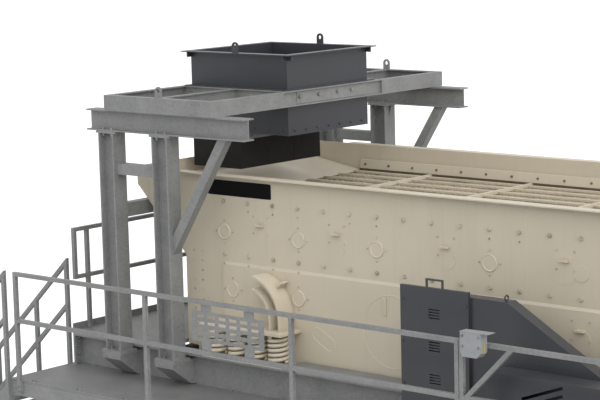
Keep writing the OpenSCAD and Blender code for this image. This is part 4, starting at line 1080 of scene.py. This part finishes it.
        # the dark rubber strip along the rail's foot paints the shadow gap under the rail
        low, high = span("clamp_rails")
        inner, width, height = self.shadow_strip
        middle, half = side.value * (inner + 0.5 * width), 0.5 * width
        strip = blocks([low[0], middle - half, low[2]], [high[0], middle + half, low[2] + height])
        self.add(f"rail_seal_{side.tag}", strip, PAINTED_SHADOW_RUBBER, Slot.RUBBER)

    def seam(self, side: Side) -> None:
        """Carries a low round bead up the plate: its depth swings by a sine, as a weld's ripple does.

        Args:
            side: Side of the machine.
        """
        z = np.linspace(*self.seam_z, self.seam_points)
        swing, length = self.ripple
        depth = side.value * (self.plate_y - self.seam_in + swing * np.sin(2.0 * math.pi * z / length))
        path = np.stack([np.full_like(z, self.seam_x), depth, z], 1)[None]
        bead = swept(path, circle(self.seam_d, 6), ALONG)
        self.add(f"plate_seam_{side.tag}", bead, ENAMEL, Slot.BEIGE, smooth=True)

    def doubler_welds(self, side: Side) -> None:
        """Runs low beads round the doubler's inserts, and welds a lug beside them.

        At angle a, point = (half sign(cos a), 0) + (radius + offset) (cos a, sin a), turned by the tilt.

        Args:
            side: Side of the machine.
        """
        a = 2.0 * math.pi * (np.arange(self.weld_points) + 0.5) / self.weld_points
        offset, lift = np.array(self.weld).T[:, :, None]
        walls = skin(len(self.weld), self.weld_points, ring=True)
        y = side.value * self.doubler_y
        shells = []
        for x, z, radius, half, tilt in self.beads:
            u = half * np.sign(np.cos(a)) + (radius + offset) * np.cos(a)
            v = (radius + offset) * np.sin(a)
            along, up = u * math.cos(tilt) - v * math.sin(tilt), u * math.sin(tilt) + v * math.cos(tilt)
            points = np.stack([x + along, np.broadcast_to(y + side.value * lift, u.shape), z + up], -1)
            shells.append(Shell(points.reshape(-1, 3), [walls if side is Side.NEAR else walls[:, ::-1]]))
        lug = pad(self.lug_size, self.lug_chamfer)
        shells.append(lug.stamped([[self.lug[0], y, self.lug[1]]], side.out))
        self.add(f"doubler_welds_{side.tag}", joined(shells), ENAMEL, Slot.BEIGE)

    def label(self) -> None:
        """Lays a bare plate on the near side: rows of a superellipse, |x/a|^n + |z/b|^n = 1."""
        rows, cols, power = len(self.label_rows), self.label_points, 2.0 / self.label_power
        t = 2.0 * math.pi * np.arange(cols) / cols
        x = np.sign(np.cos(t)) * np.abs(np.cos(t)) ** power
        z = np.sign(np.sin(t)) * np.abs(np.sin(t)) ** power
        inset, lift = np.array(self.label_rows).T[:, :, None]
        depth = np.broadcast_to(-self.plate_y - lift, (rows, cols))
        across = self.label_at[0] + x * (self.label_half[0] - inset)
        up = self.label_at[1] + z * (self.label_half[1] - inset)
        points = np.stack([across, depth, up], -1).reshape(-1, 3)
        self.add("label_plate", Shell(points, [skin(rows, cols), caps(rows, cols)]), LABEL, Slot.CHARCOAL)


@dataclass
class SpringBanks(SubAssembly):
    """Coil springs of both sides, drawn finely in the place of their solids.

    Attributes:
        bank_x: Middles of the two banks along the machine.
        count: Springs in a bank.
        gap: Distance between neighbouring springs.
        diameter: Outer diameter of a spring.
        wire: Diameter of its wire.
        turns: Number of its turns.
        flat: Part of a turn that lies flat at each end.
        steps: Rings of the wire in one turn.
        sides: Points in a ring.
    """

    bank_x: tuple[float, float] = (-0.31592, 4.18408)
    count: int = 4
    gap: float = 0.250
    diameter: float = 0.200
    wire: float = 0.036
    turns: float = 5.75
    flat: float = 0.25
    steps: int = 40
    sides: int = 12

    def build(self) -> None:
        """Sets a coil on every place of both banks, on each side."""
        row = self.gap * (np.arange(self.count) - 0.5 * (self.count - 1))
        for side in Side:
            node = f"springs_{side.tag}"
            low, high = span(node)
            places = grid(np.add.outer(self.bank_x, row).ravel(), 0.5 * (low[1] + high[1]), low[2])
            coils = self.coil(high[2] - low[2]).stamped(places, UP)
            self.add(f"{node}_coils", coils, ENAMEL, Slot.BEIGE, (node,), smooth=True)

    def coil(self, height: float) -> Shell:
        """Sweeps the wire: at turn t its ring stands at angle 2 pi t, and it climbs between its flat ends.

        Args:
            height: Height of the spring.

        Returns:
            One spring, which stands on Z = 0.
        """
        rings = int(self.turns * self.steps) + 1
        t = np.linspace(0.0, self.turns, rings)[:, None]
        b = -2.0 * math.pi * np.arange(self.sides)[None] / self.sides
        rise = (np.clip(t, self.flat, self.turns - self.flat) - self.flat) / (self.turns - 2.0 * self.flat)
        reach = 0.5 * (self.diameter - self.wire) + 0.5 * self.wire * np.cos(b)
        z = 0.5 * self.wire + (height - self.wire) * rise + 0.5 * self.wire * np.sin(b)
        a = 2.0 * math.pi * t
        points = np.stack([reach * np.cos(a), reach * np.sin(a), z], -1)
        return Shell(points.reshape(-1, 3), [skin(rings, self.sides), caps(rings, self.sides)])


@dataclass
class ScreenDecks(SubAssembly):
    """Woven wire cloth of the three decks, on narrow carrier bars.

    Attributes:
        wire: Wire diameter of each deck, top first.
        pitch: Wire spacing of each deck.
        carriers: Number of carrier bars under a deck.
        carrier_w: Width of a carrier bar.
        carrier_in: Distance from the deck's edge to its first carrier bar.
        carrier_down: Drop from the deck's top to its carrier bars, in wire diameters.
    """

    wire: tuple[float, ...] = (0.018, 0.012, 0.010)
    pitch: tuple[float, ...] = (0.036, 0.075, 0.075)
    carriers: int = 7
    carrier_w: float = 0.012
    carrier_in: float = 0.120
    carrier_down: float = 1.9

    def build(self) -> None:
        """Weaves each deck in the place of its solid, and lays carrier bars under it."""
        for node, wire, pitch in zip(("top_deck", "middle_deck", "bottom_deck"), self.wire, self.pitch):
            low, high = span(node)
            cloth = self.weave(low, high, wire, pitch)
            self.add(f"{node}_cloth", cloth, WIRE, Slot.CLOTH, (node,), smooth=True)
            ys = np.linspace(low[1] + self.carrier_in, high[1] - self.carrier_in, self.carriers)
            floor = grid(low[0], ys - 0.5 * self.carrier_w, low[2])
            top = grid(high[0], ys + 0.5 * self.carrier_w, high[2] - self.carrier_down * wire)
            self.add(f"{node}_carriers", blocks(floor, top), RUBBER, Slot.RUBBER)

    def weave(self, low: Points, high: Points, wire: float, pitch: float) -> Shell:
        """Weaves crimped wires: height = middle + (wire / 2) (-1)^(i + j) at crossing i, j, or minus it.

        Args:
            low: Lowest corner of the deck.
            high: Highest corner of the deck.
            wire: Wire diameter.
            pitch: Wire spacing.

        Returns:
            The cloth, its top level with the deck's.
        """
        x = spaced(low[0] + wire, high[0] - wire, pitch)
        y = spaced(low[1] + wire, high[1] - wire, pitch)
        swing = 0.5 * wire * (1.0 - 2.0 * ((np.arange(len(x))[:, None] + np.arange(len(y))[None]) % 2))
        gx, gy = np.meshgrid(x, y, indexing="ij")
        middle = high[2] - wire
        warp = np.stack([gx, gy, middle + swing], -1).transpose(1, 0, 2)
        weft = np.stack([gx, gy, middle - swing], -1)
        ring = circle(wire, 4)
        return joined([swept(warp, ring, ACROSS), swept(weft, ring, ALONG)])


@dataclass
class Walkways(SubAssembly):
    """Nosings and fixings of the walkway floors and of the stair.

    Attributes:
        plank: Width of a floor plank, which sets the pitch of the fixings.
        pair: Distance from a joint between planks to the screws beside it.
        edge_in: Distance from a floor's edge to its fixings.
        nosing: Width of the bar along a tread's front.
        nosing_in: Distance from a tread's edges to its bar, along and across.
        rib: Height of the bar's ribs.
        ribs: Ribs across the bar.
        bar_points: Points across the bar's top.
        tread_rise: Least step in height that tells two treads apart.
    """

    plank: float = 0.600
    pair: float = 0.025
    edge_in: float = 0.035
    nosing: float = 0.030
    nosing_in: tuple[float, float] = (0.005, 0.020)
    rib: float = 0.002
    ribs: int = 3
    bar_points: int = 13
    tread_rise: float = 0.060

    def build(self) -> None:
        """Makes the floor fixings and the nosings."""
        self.fixings()
        self.nosings()

    def fixings(self) -> None:
        """Puts two low screws at each joint between planks, at both edges of every floor."""
        spots = []
        for node in ("walkway_near", "walkway_far", "feed_platform"):
            low, high = span(node)
            joints = spaced(low[0] + 0.5 * self.plank, high[0] - 0.5 * self.plank, self.plank)
            edges = [low[1] + self.edge_in, high[1] - self.edge_in]
            spots.append(grid(about(joints, self.pair), edges, high[2]))
        self.add("floor_fixings", M12.head().stamped(np.concatenate(spots), UP), ZINC_BOLT, Slot.FLOOR)

    def nosings(self) -> None:
        """Lays a ribbed bar on each tread's front: its height is a rib plus a rib times |sin| across it."""
        mesh = frame["nodes"]["stair_treads"].data
        co = np.empty(3 * len(mesh.vertices), np.float32)
        mesh.vertices.foreach_get("co", co)
        co = co.reshape(-1, 3).astype(float)
        rising = co[np.argsort(co[:, 2])]
        treads = np.split(rising, np.flatnonzero(np.diff(rising[:, 2]) > self.tread_rise) + 1)
        across = np.linspace(0.0, self.nosing, self.bar_points)
        height = self.rib * (1.0 + np.abs(np.sin(self.ribs * math.pi * across / self.nosing)))
        ring = np.concatenate([np.stack([across, -height], 1), [[self.nosing, 0.0], [0.0, 0.0]]])
        along, beside = self.nosing_in
        starts = np.array([[t[:, 0].min() + along, t[:, 1].min() + beside, t[:, 2].max()] for t in treads])
        ends = np.array([[t[:, 0].min() + along, t[:, 1].max() - beside, t[:, 2].max()] for t in treads])
        bars = swept(np.stack([starts, ends], 1), ring, ALONG)
        self.add("stair_nosings", bars, FLOOR_ZINC, Slot.FLOOR)


@dataclass
class FeedStand(SubAssembly):
    """Bolts and closing bars of the feed stand, the top frame and the feed box.

    Attributes:
        plate_edge: Distance from a column's plate edge to the column's middle.
        plate_t: Thickness of the column's plates.
        bolt_half: Half the distance between a column's bolts, along and across.
        flange_t: Thickness of the beams' lower flange.
        lip_in: Distance from a bracket's edge to its lip.
        lip: Width, thickness and height of the lip.
        seat_in: Distance from the top frame's ends and sides to its seat bolts.
        seat_t: Thickness of the top frame's lower flange.
        seats: Seat bolts along a side of the top frame.
        splice_y: Places of the bolts of the splice plate.
        splice_in: Distance from the frame's front to the splice plate's face.
        splice_up: Height of the splice bolts over the frame's middle.
        rim: Reach of the feed box's rim beyond its walls.
        edge_up: Height of the feed box's bolts over the skirt's top.
        edge_in: Distance from the feed box's corners to its first bolts.
        edge_bolts: Bolts on a wall of the feed box, along and across.
        clamp_in: Distance from the ends of the clamp bars to their first bolts.
        clamp_bolts: Bolts on a clamp bar, along and across.
    """

    plate_edge: float = 0.130
    plate_t: float = 0.020
    bolt_half: tuple[float, float] = (0.055, 0.050)
    flange_t: float = 0.014
    lip_in: float = 0.030
    lip: tuple[float, float, float] = (0.200, 0.012, 0.040)
    seat_in: tuple[float, float] = (0.120, 0.046)
    seat_t: float = 0.010
    seats: int = 5
    splice_y: tuple[float, ...] = (-0.487, -0.206, 0.074, 0.285)
    splice_in: float = 0.024
    splice_up: float = 0.012
    rim: float = 0.072
    edge_up: float = 0.045
    edge_in: float = 0.090
    edge_bolts: tuple[int, int] = (7, 7)
    clamp_in: float = 0.060
    clamp_bolts: tuple[int, int] = (6, 10)

    def build(self) -> None:
        """Makes the bolts of the columns, the frame, the feed box and the skirt, and the brackets' lips."""
        self.column_bolts()
        self.bracket_lips()
        self.frame_bolts()
        low, high = span("feed_box")
        edge_z = span("feed_skirt")[1][2] + self.edge_up
        heads = self.round_bolts(low + self.rim, high - self.rim, edge_z, self.edge_bolts, self.edge_in)
        self.add("feed_box_bolts", heads, COAT, Slot.CHARCOAL)
        low, high = span("skirt_clamps")
        heads = self.round_bolts(low, high, 0.5 * (low[2] + high[2]), self.clamp_bolts, self.clamp_in)
        self.add("skirt_bolts", heads, ZINC_BOLT, Slot.ZINC)

    def round_bolts(self, low: Points, high: Points, z: float, counts: tuple[int, int], edge: float) -> Shell:
        """Puts a row of bolts on each of the four upright faces of a box.

        Args:
            low: Lowest corner of the box.
            high: Highest corner of the box.
            z: Height of the rows.
            counts: Bolts on a face along X, and on one along Y.
            edge: Distance from a corner to the first bolt.

        Returns:
            All heads as one shell.
        """
        x = np.linspace(low[0] + edge, high[0] - edge, counts[0])
        y = np.linspace(low[1] + edge, high[1] - edge, counts[1])
        faces = (
            (grid(low[0], y, z), (-1.0, 0.0, 0.0)), (grid(high[0], y, z), ALONG),
            (grid(x, low[1], z), Side.NEAR.out), (grid(x, high[1], z), Side.FAR.out),
        )
        return joined([M12.head().stamped(spots, out) for spots, out in faces])

    def column_bolts(self) -> None:
        """Puts nuts on the column bases, and bolts with nuts where the columns meet the beams."""
        low, high = span("columns_near")
        middle = 0.5 * (low[1] + high[1])
        xs = about([low[0] + self.plate_edge, high[0] - self.plate_edge], self.bolt_half[0])
        ys = about([middle, -middle], self.bolt_half[1])
        base = M20.nut(STUD).stamped(grid(xs, ys, low[2] + self.plate_t), UP)
        head = M20.head().stamped(grid(xs, ys, high[2] + self.flange_t), UP)
        under = M20.nut(STUD).stamped(grid(xs, ys, high[2] - self.plate_t), DOWN)
        self.add("column_bolts", joined([base, head, under]), ZINC_BOLT, Slot.ZINC)

    def bracket_lips(self) -> None:
        """Closes the upright edge of each column bracket with a flat bar."""
        low, high = span("column_brackets")
        width, thick, height = self.lip
        xs = [low[0] + self.lip_in, high[0] - self.lip_in - width]
        bars = grid(xs, [low[1], high[1] - thick], high[2] - self.plate_t - height)
        self.add("bracket_lips", blocks(bars, bars + np.array(self.lip)), ZINC, Slot.ZINC)

    def frame_bolts(self) -> None:
        """Puts bolts through the top frame's lower flange and through its splice plate."""
        low, high = span("top_frame")
        end, side = self.seat_in
        xs = np.linspace(low[0] + end, high[0] - end, self.seats)
        seats = M20.head().stamped(grid(xs, [low[1] + side, high[1] - side], low[2] + self.seat_t), UP)
        spots = grid(high[0] - self.splice_in, self.splice_y, 0.5 * (low[2] + high[2]) + self.splice_up)
        plate = M20.head().stamped(spots, ALONG)
        self.add("frame_bolts", joined([seats, plate]), ZINC_BOLT, Slot.ZINC)


@dataclass
class Support(SubAssembly):
    """Fasteners of the legs, girders and handrails, with the girders' cover strips and rubber stops.

    Attributes:
        leg_x: Places of the legs along the machine.
        anchor_half: Half the distance between a leg's anchors.
        anchor_stud: Length that an anchor stands past its nut.
        base_t: Thickness of a leg's plates.
        flange_half: Half the distance between bolts across a girder's flange.
        flange_t: Thickness of the girders' flanges.
        end_z: Distance from a girder's bottom and top to its end plate bolts.
        end_bolts: Bolts in a row of an end plate.
        post_x: Places of the handrail posts.
        post_z: Heights of a post's bolts.
        twin_x: Face of the post that carries a stop station.
        twin_z: Heights of the bolts on that face.
        strip_x: Ends of the cover strips.
        strip_y: Inner edge of the cover strips, from the middle.
        strip_t: Thickness of the cover strips.
        stop_x: Place of the rubber stops along the machine.
        stop_out: Distance from a girder's middle to its stop.
        stop: Length, width and height of a stop.
        stop_chamfer: Chamfer of a stop's top.
    """

    leg_x: tuple[float, ...] = (-2.09592, 1.34408, 4.78408)
    anchor_half: float = 0.160
    anchor_stud: float = 0.030
    base_t: float = 0.025
    flange_half: float = 0.060
    flange_t: float = 0.020
    end_z: tuple[float, float] = (0.060, 0.045)
    end_bolts: int = 7
    post_x: tuple[float, ...] = (-2.50392, -0.73892, 1.02608, 2.79108, 2.83708, 4.55608, 5.40608)
    post_z: tuple[float, float] = (2.495, 2.540)
    twin_x: float = 2.85608
    twin_z: tuple[float, float] = (3.235, 3.285)
    strip_x: tuple[float, float] = (0.200, 3.670)
    strip_y: float = 1.247
    strip_t: float = 0.020
    stop_x: float = -1.010
    stop_out: float = 0.040
    stop: tuple[float, float, float] = (0.100, 0.100, 0.072)
    stop_chamfer: float = 0.008

    def build(self) -> None:
        """Makes the fasteners, the cover strips and the stops."""
        self.leg_bolts()
        self.end_plate_bolts()
        self.post_bolts()
        self.girder_tops()

    def girders(self) -> tuple[Points, Points, float]:
        """Gives the near girder's box and the distance of both girders from the middle."""
        low, high = span("girder_near")
        return low, high, -0.5 * float(low[1] + high[1])

    def leg_bolts(self) -> None:
        """Puts anchor nuts on the legs' feet, and bolts with nuts between their heads and the girders."""
        low, _, out = self.girders()
        feet = grid(about(self.leg_x, self.anchor_half), about([-out, out], self.anchor_half), self.base_t)
        self.add("anchor_nuts", M24.nut(self.anchor_stud).stamped(feet, UP), ZINC_BOLT, Slot.ZINC)
        xs, ys = about(self.leg_x, self.flange_half), about([-out, out], self.flange_half)
        head = M20.head().stamped(grid(xs, ys, low[2] + self.flange_t), UP)
        under = M20.nut(STUD).stamped(grid(xs, ys, low[2] - self.base_t), DOWN)
        self.add("leg_cap_bolts", joined([head, under]), ZINC_BOLT, Slot.ZINC)

    def end_plate_bolts(self) -> None:
        """Puts bolts through the girders' end plates, heads outside and nuts inside."""
        low, high, out = self.girders()
        ys = about([-out, out], self.flange_half)
        z = np.linspace(low[2] + self.end_z[0], high[2] - self.end_z[1], self.end_bolts)
        shells = []
        for face, way in ((low[0], -1.0), (high[0], 1.0)):
            shells.append(M20.head().stamped(grid(face, ys, z), (way, 0.0, 0.0)))
            shells.append(M20.nut(STUD).stamped(grid(face - way * self.flange_t, ys, z), (-way, 0.0, 0.0)))
        self.add("end_plate_bolts", joined(shells), ZINC_BOLT, Slot.ZINC)

    def post_bolts(self) -> None:
        """Puts bolts on the feet of the handrail posts, and on the posts that carry the stop stations."""
        low, high = span("handrail_near")
        face, middle = -low[1], -0.5 * (low[1] + high[1])
        head = M12.head()
        feet = [head.stamped(grid(self.post_x, s.value * face, self.post_z), s.out) for s in Side]
        twin = head.stamped(grid(self.twin_x, [-middle, middle], self.twin_z), ALONG)
        self.add("post_bolts", joined(feet + [twin]), ZINC_BOLT, Slot.ZINC)

    def girder_tops(self) -> None:
        """Lays a cover strip on each girder between the spring banks, and a rubber stop at its feed end."""
        low, high, out = self.girders()
        edge = -low[1]
        start = grid(self.strip_x[0], [-edge, self.strip_y], high[2])
        end = grid(self.strip_x[1], [-self.strip_y, edge], high[2] + self.strip_t)
        self.add("girder_strips", blocks(start, end), ZINC, Slot.ZINC)
        spots = grid(self.stop_x, [-out - self.stop_out, out + self.stop_out], high[2])
        self.add("rubber_stops", pad(self.stop, self.stop_chamfer).stamped(spots, UP), RUBBER, Slot.RUBBER)


@dataclass
class DriveGuard(SubAssembly):
    """Screws and lifting ring of the drive guard.

    Attributes:
        door_top: Top of the door's sheet.
        screw_in: Distance from the door's edges to its screws, along and up.
        screws: Screws on an edge of the door.
        knee_x: Place where the guard's top starts to slope.
        ring: Bore and bar diameter of the lifting ring.
        ring_in: Distance from the guard's front to the ring.
        ring_sunk: Depth that the ring is welded into the guard's top.
    """

    door_top: float = 3.928
    screw_in: tuple[float, float] = (0.025, 0.120)
    screws: int = 4
    knee_x: float = 2.880
    ring: tuple[float, float] = (0.032, 0.014)
    ring_in: float = 0.030
    ring_sunk: float = 0.002

    def build(self) -> None:
        """Makes the door's screws and the ring on top of the guard."""
        low, high = span("guard_door")
        along, up = self.screw_in
        z = np.linspace(low[2] + up, self.door_top - up, self.screws)
        spots = grid([low[0] + along, high[0] - along], low[1], z)
        self.add("guard_screws", M10.head().stamped(spots, Side.NEAR.out), DARK_BOLT, Slot.CHARCOAL)
        low, high = span("drive_guard")
        spot = [[self.knee_x, low[1] + self.ring_in, high[2] - self.ring_sunk]]
        ring = ring_bolt(*self.ring).stamped(spot, UP)
        self.add("guard_ring", ring, DARK_BOLT, Slot.CHARCOAL, smooth=True)


@dataclass
class StopStations(SubAssembly):
    """Switch housings, buttons, glands and screws of the two stop stations.

    Attributes:
        width: Width of a station, without its hood.
        depth: Depth of a station, without its hood.
        hood: Sheet thickness of the hood.
        housing: Width, height and depth of the switch housing.
        housing_chamfer: Chamfer of the housing's edges.
        housing_up: Height of the housing's middle over the station's bottom.
        button_r: Radius of the button.
        button_down: Drop from the station's top to the button.
        screw_in: Distance from the station's sides to its screws.
        screw_up: Heights of the screws over the station's bottom.
    """

    width: float = 0.200
    depth: float = 0.090
    hood: float = 0.004
    housing: tuple[float, float, float] = (0.022, 0.080, 0.012)
    housing_chamfer: float = 0.003
    housing_up: float = 0.078
    button_r: float = 0.020
    button_down: float = 0.050
    screw_in: float = 0.022
    screw_up: tuple[float, float] = (0.085, 0.170)

    def build(self) -> None:
        """Makes both stations' housings, buttons, glands and screws."""
        for side in Side:
            self.station(side)

    def station(self, side: Side) -> None:
        """Dresses one station: a housing beside it, a button on its inner face, a gland below and screws.

        Args:
            side: Side of the machine.
        """
        out = float(side.value)
        low, high = span("stop_stations")
        left = low[0] + self.hood
        right = left + self.width
        face = out * (high[1] - self.hood)
        back = face - out * self.depth
        middle = [0.5 * (left + right), 0.5 * (face + back)]
        spot = [[right, middle[1], low[2] + self.housing_up]]
        box = pad(self.housing, self.housing_chamfer).stamped(spot, ALONG)
        self.add(f"switch_housing_{side.tag}", box, YELLOW, Slot.CASE)
        knob = self.button().stamped([[middle[0], back, high[2] - self.button_down]], (0.0, -out, 0.0))
        self.add(f"stop_button_{side.tag}", knob, RED, Slot.CASE, smooth=True)
        gland = M16.head().stamped([[*middle, low[2]]], DOWN)
        self.add(f"cable_gland_{side.tag}", gland, BLACK, Slot.CASE)
        spots = grid([left + self.screw_in, right - self.screw_in], face, low[2] + np.array(self.screw_up))
        self.add(f"station_screws_{side.tag}", M10.head().stamped(spots, side.out), ZINC_BOLT, Slot.CASE)

    def button(self) -> Shell:
        """Turns a mushroom button: a neck, then rows at radius r cos t and height 0.6 r + 0.4 r sin t.

        Returns:
            The button, which stands on Z = 0.
        """
        r = self.button_r
        t = np.linspace(0.0, 0.48 * math.pi, 6)
        radii = np.concatenate([[0.45 * r, 0.45 * r, 0.95 * r], r * np.cos(t)])
        heights = np.concatenate([[0.0, 0.4 * r, 0.4 * r], 0.6 * r + 0.4 * r * np.sin(t)])
        return lathe(np.repeat(radii[:, None], 16, 1), heights)


def turned(right: Points, up: Points, back: Points, at: Rows) -> Matrix:
    """Gives the matrix of a lamp or a camera: its columns are its axes and its place.

    Args:
        right: Direction of its X.
        up: Direction of its Y.
        back: Direction of its Z, away from what it looks at.
        at: Its place.

    Returns:
        The matrix, four by four.
    """
    rows = np.eye(4)
    rows[:3] = np.stack([right, up, back, np.asarray(at, float)], 1)
    return Matrix(rows.tolist())


@dataclass(frozen=True)
class Lamp:
    """A soft lamp far away.

    Attributes:
        name: Name of the lamp.
        towards: Direction from the object to the lamp.
        strength: Its strength.
        spread: Its apparent width in degrees, which softens shadows.
    """

    name: str
    towards: tuple[float, float, float]
    strength: float
    spread: float

    def build(self) -> None:
        """Adds the lamp, its back turned to where it shines from."""
        data = bpy.data.lights.new(self.name, "SUN")
        data.energy, data.angle = self.strength, math.radians(self.spread)
        lamp = bpy.data.objects.new(self.name, data)
        back = np.asarray(self.towards) / np.linalg.norm(self.towards)
        right = np.cross(UP, back)
        right /= np.linalg.norm(right)
        lamp.matrix_world = turned(right, np.cross(back, right), back, (0.0, 0.0, 0.0))
        bpy.context.scene.collection.objects.link(lamp)


@dataclass
class Studio:
    """Floor, light and camera.

    Attributes:
        eye: Place of the camera, in metres.
        yaw: Turn of the view about Z, from +Y towards -X, in degrees.
        pitch: Angle of the view below the horizon.
        roll: Turn of the view about its own axis.
        lens: Focal length on a 36 mm frame.
        lamps: Lamps that shine on the object.
        sky: Strength of the even light from all round.
        sky_tone: Colour of that light.
        floor_half: Half the length of the floor.
        floor_tones: The two colours that the floor drifts between.
        glow: Light that the floor adds where it is seen, so that it looks white.
    """

    eye: tuple[float, float, float] = (12.6533, -15.4582, 7.2264)
    yaw: float = 41.2046
    pitch: float = 8.3892
    roll: float = -1.4254
    lens: float = 125.818
    lamps: tuple[Lamp, ...] = (
        Lamp("key_light", (0.80, -0.42, 0.42), 2.5, 80.0),
        Lamp("fill_light", (-0.35, -0.80, 0.55), 0.3, 120.0),
    )
    sky: float = 0.8
    sky_tone: str = "#f6f8fb"
    floor_half: float = 160.0
    floor_tones: tuple[str, str] = ("#b4b4b3", "#b0b0af")
    glow: float = 0.75

    def build(self) -> None:
        """Sets up the camera, the lamps, the world and the floor."""
        self.camera()
        for lamp in self.lamps:
            lamp.build()
        self.world()
        self.floor()
        bpy.context.scene.view_settings.view_transform = "Standard"

    def camera(self) -> None:
        """Places the camera from its yaw, pitch and roll."""
        yaw, pitch, roll = (math.radians(a) for a in (self.yaw, self.pitch, self.roll))
        level = math.cos(pitch)
        ahead = np.array([-math.sin(yaw) * level, math.cos(yaw) * level, -math.sin(pitch)])
        right = np.array([math.cos(yaw), math.sin(yaw), 0.0])
        up = np.cross(right, ahead)
        cos, sin = math.cos(roll), math.sin(roll)
        right, up = right * cos + up * sin, up * cos - right * sin
        data = bpy.data.cameras.new("camera")
        data.sensor_fit, data.sensor_width, data.lens = "HORIZONTAL", 36.0, self.lens
        data.clip_start, data.clip_end = 0.5, 500.0
        camera = bpy.data.objects.new("camera", data)
        camera.matrix_world = turned(right, up, -ahead, self.eye)
        bpy.context.scene.collection.objects.link(camera)
        bpy.context.scene.camera = camera

    def world(self) -> None:
        """Lights the object evenly, and shows white to the camera and in reflections."""
        world = bpy.data.worlds.new("white_room")
        world.use_nodes = True
        tree = world.node_tree
        tree.nodes.clear()
        path = put(tree, "LightPath").outputs
        rays = {0: path["Is Camera Ray"], 1: path["Is Glossy Ray"]}
        seen = put(tree, "Math", rays, operation="ADD").outputs[0]
        through = {0: seen, 1: path["Is Transmission Ray"]}
        shown = put(tree, "Math", through, operation="ADD", use_clamp=True).outputs[0]
        lit = put(tree, "Background", {"Color": linear(self.sky_tone), "Strength": self.sky}).outputs[0]
        white = put(tree, "Background", {"Color": WHITE, "Strength": 1.0}).outputs[0]
        both = put(tree, "MixShader", {0: shown, 1: lit, 2: white}).outputs[0]
        put(tree, "OutputWorld", {"Surface": both})
        bpy.context.scene.world = world

    def floor(self) -> None:
        """Lays a pale floor that turns white away from the object's shadow."""
        mesh = bpy.data.meshes.new("floor")
        half = self.floor_half
        corners = [(-half, -half, 0.0), (half, -half, 0.0), (half, half, 0.0), (-half, half, 0.0)]
        mesh.from_pydata(corners, [], [(0, 1, 2, 3)])
        material = bpy.data.materials.new("pale studio floor painted")
        material.use_nodes = True
        tree = material.node_tree
        tree.nodes.clear()
        place = put(tree, "TexCoord").outputs["Object"]
        cloud = put(tree, "TexNoise", {"Vector": place, "Scale": per(1500), "Detail": 2.0}).outputs[0]
        one, two = (linear(tone) for tone in self.floor_tones)
        tone = put(tree, "Mix", {0: cloud, 6: one, 7: two}, data_type="RGBA").outputs[2]
        matt = put(tree, "BsdfDiffuse", {"Color": tone}).outputs[0]
        path = put(tree, "LightPath").outputs
        both = {0: path["Is Camera Ray"], 1: path["Is Glossy Ray"]}
        seen = put(tree, "Math", both, operation="ADD", use_clamp=True).outputs[0]
        glow = put(tree, "Math", {0: seen, 1: self.glow}, operation="MULTIPLY").outputs[0]
        lift = put(tree, "Emission", {"Color": WHITE, "Strength": glow}).outputs[0]
        sum_of = put(tree, "AddShader", {0: matt, 1: lift}).outputs[0]
        put(tree, "OutputMaterial", {"Surface": sum_of})
        mesh.materials.append(material)
        floor = bpy.data.objects.new("floor", mesh)
        bpy.context.scene.collection.objects.link(floor)


def dress_nodes() -> None:
    """Gives every CAD node the finish of its slot in the record."""
    for row in frame["record"]["subparts"]:
        node = frame["nodes"][row["node"]]
        finish = NODE_FINISH[Slot(row["material_slot"])]
        node.data.materials.clear()
        node.data.materials.append(finish.material())
        LOG.info("%s: %s", row["node"], finish.name)


def main() -> None:
    """Builds the studio and every sub-assembly, in order."""
    logging.basicConfig(level=logging.INFO, format="%(message)s")
    Studio().build()
    dress_nodes()
    parts = (ScreenBody, SpringBanks, ScreenDecks, Walkways, FeedStand, Support, DriveGuard, StopStations)
    for part in parts:
        part().build()


if __name__ == "__main__":
    main()
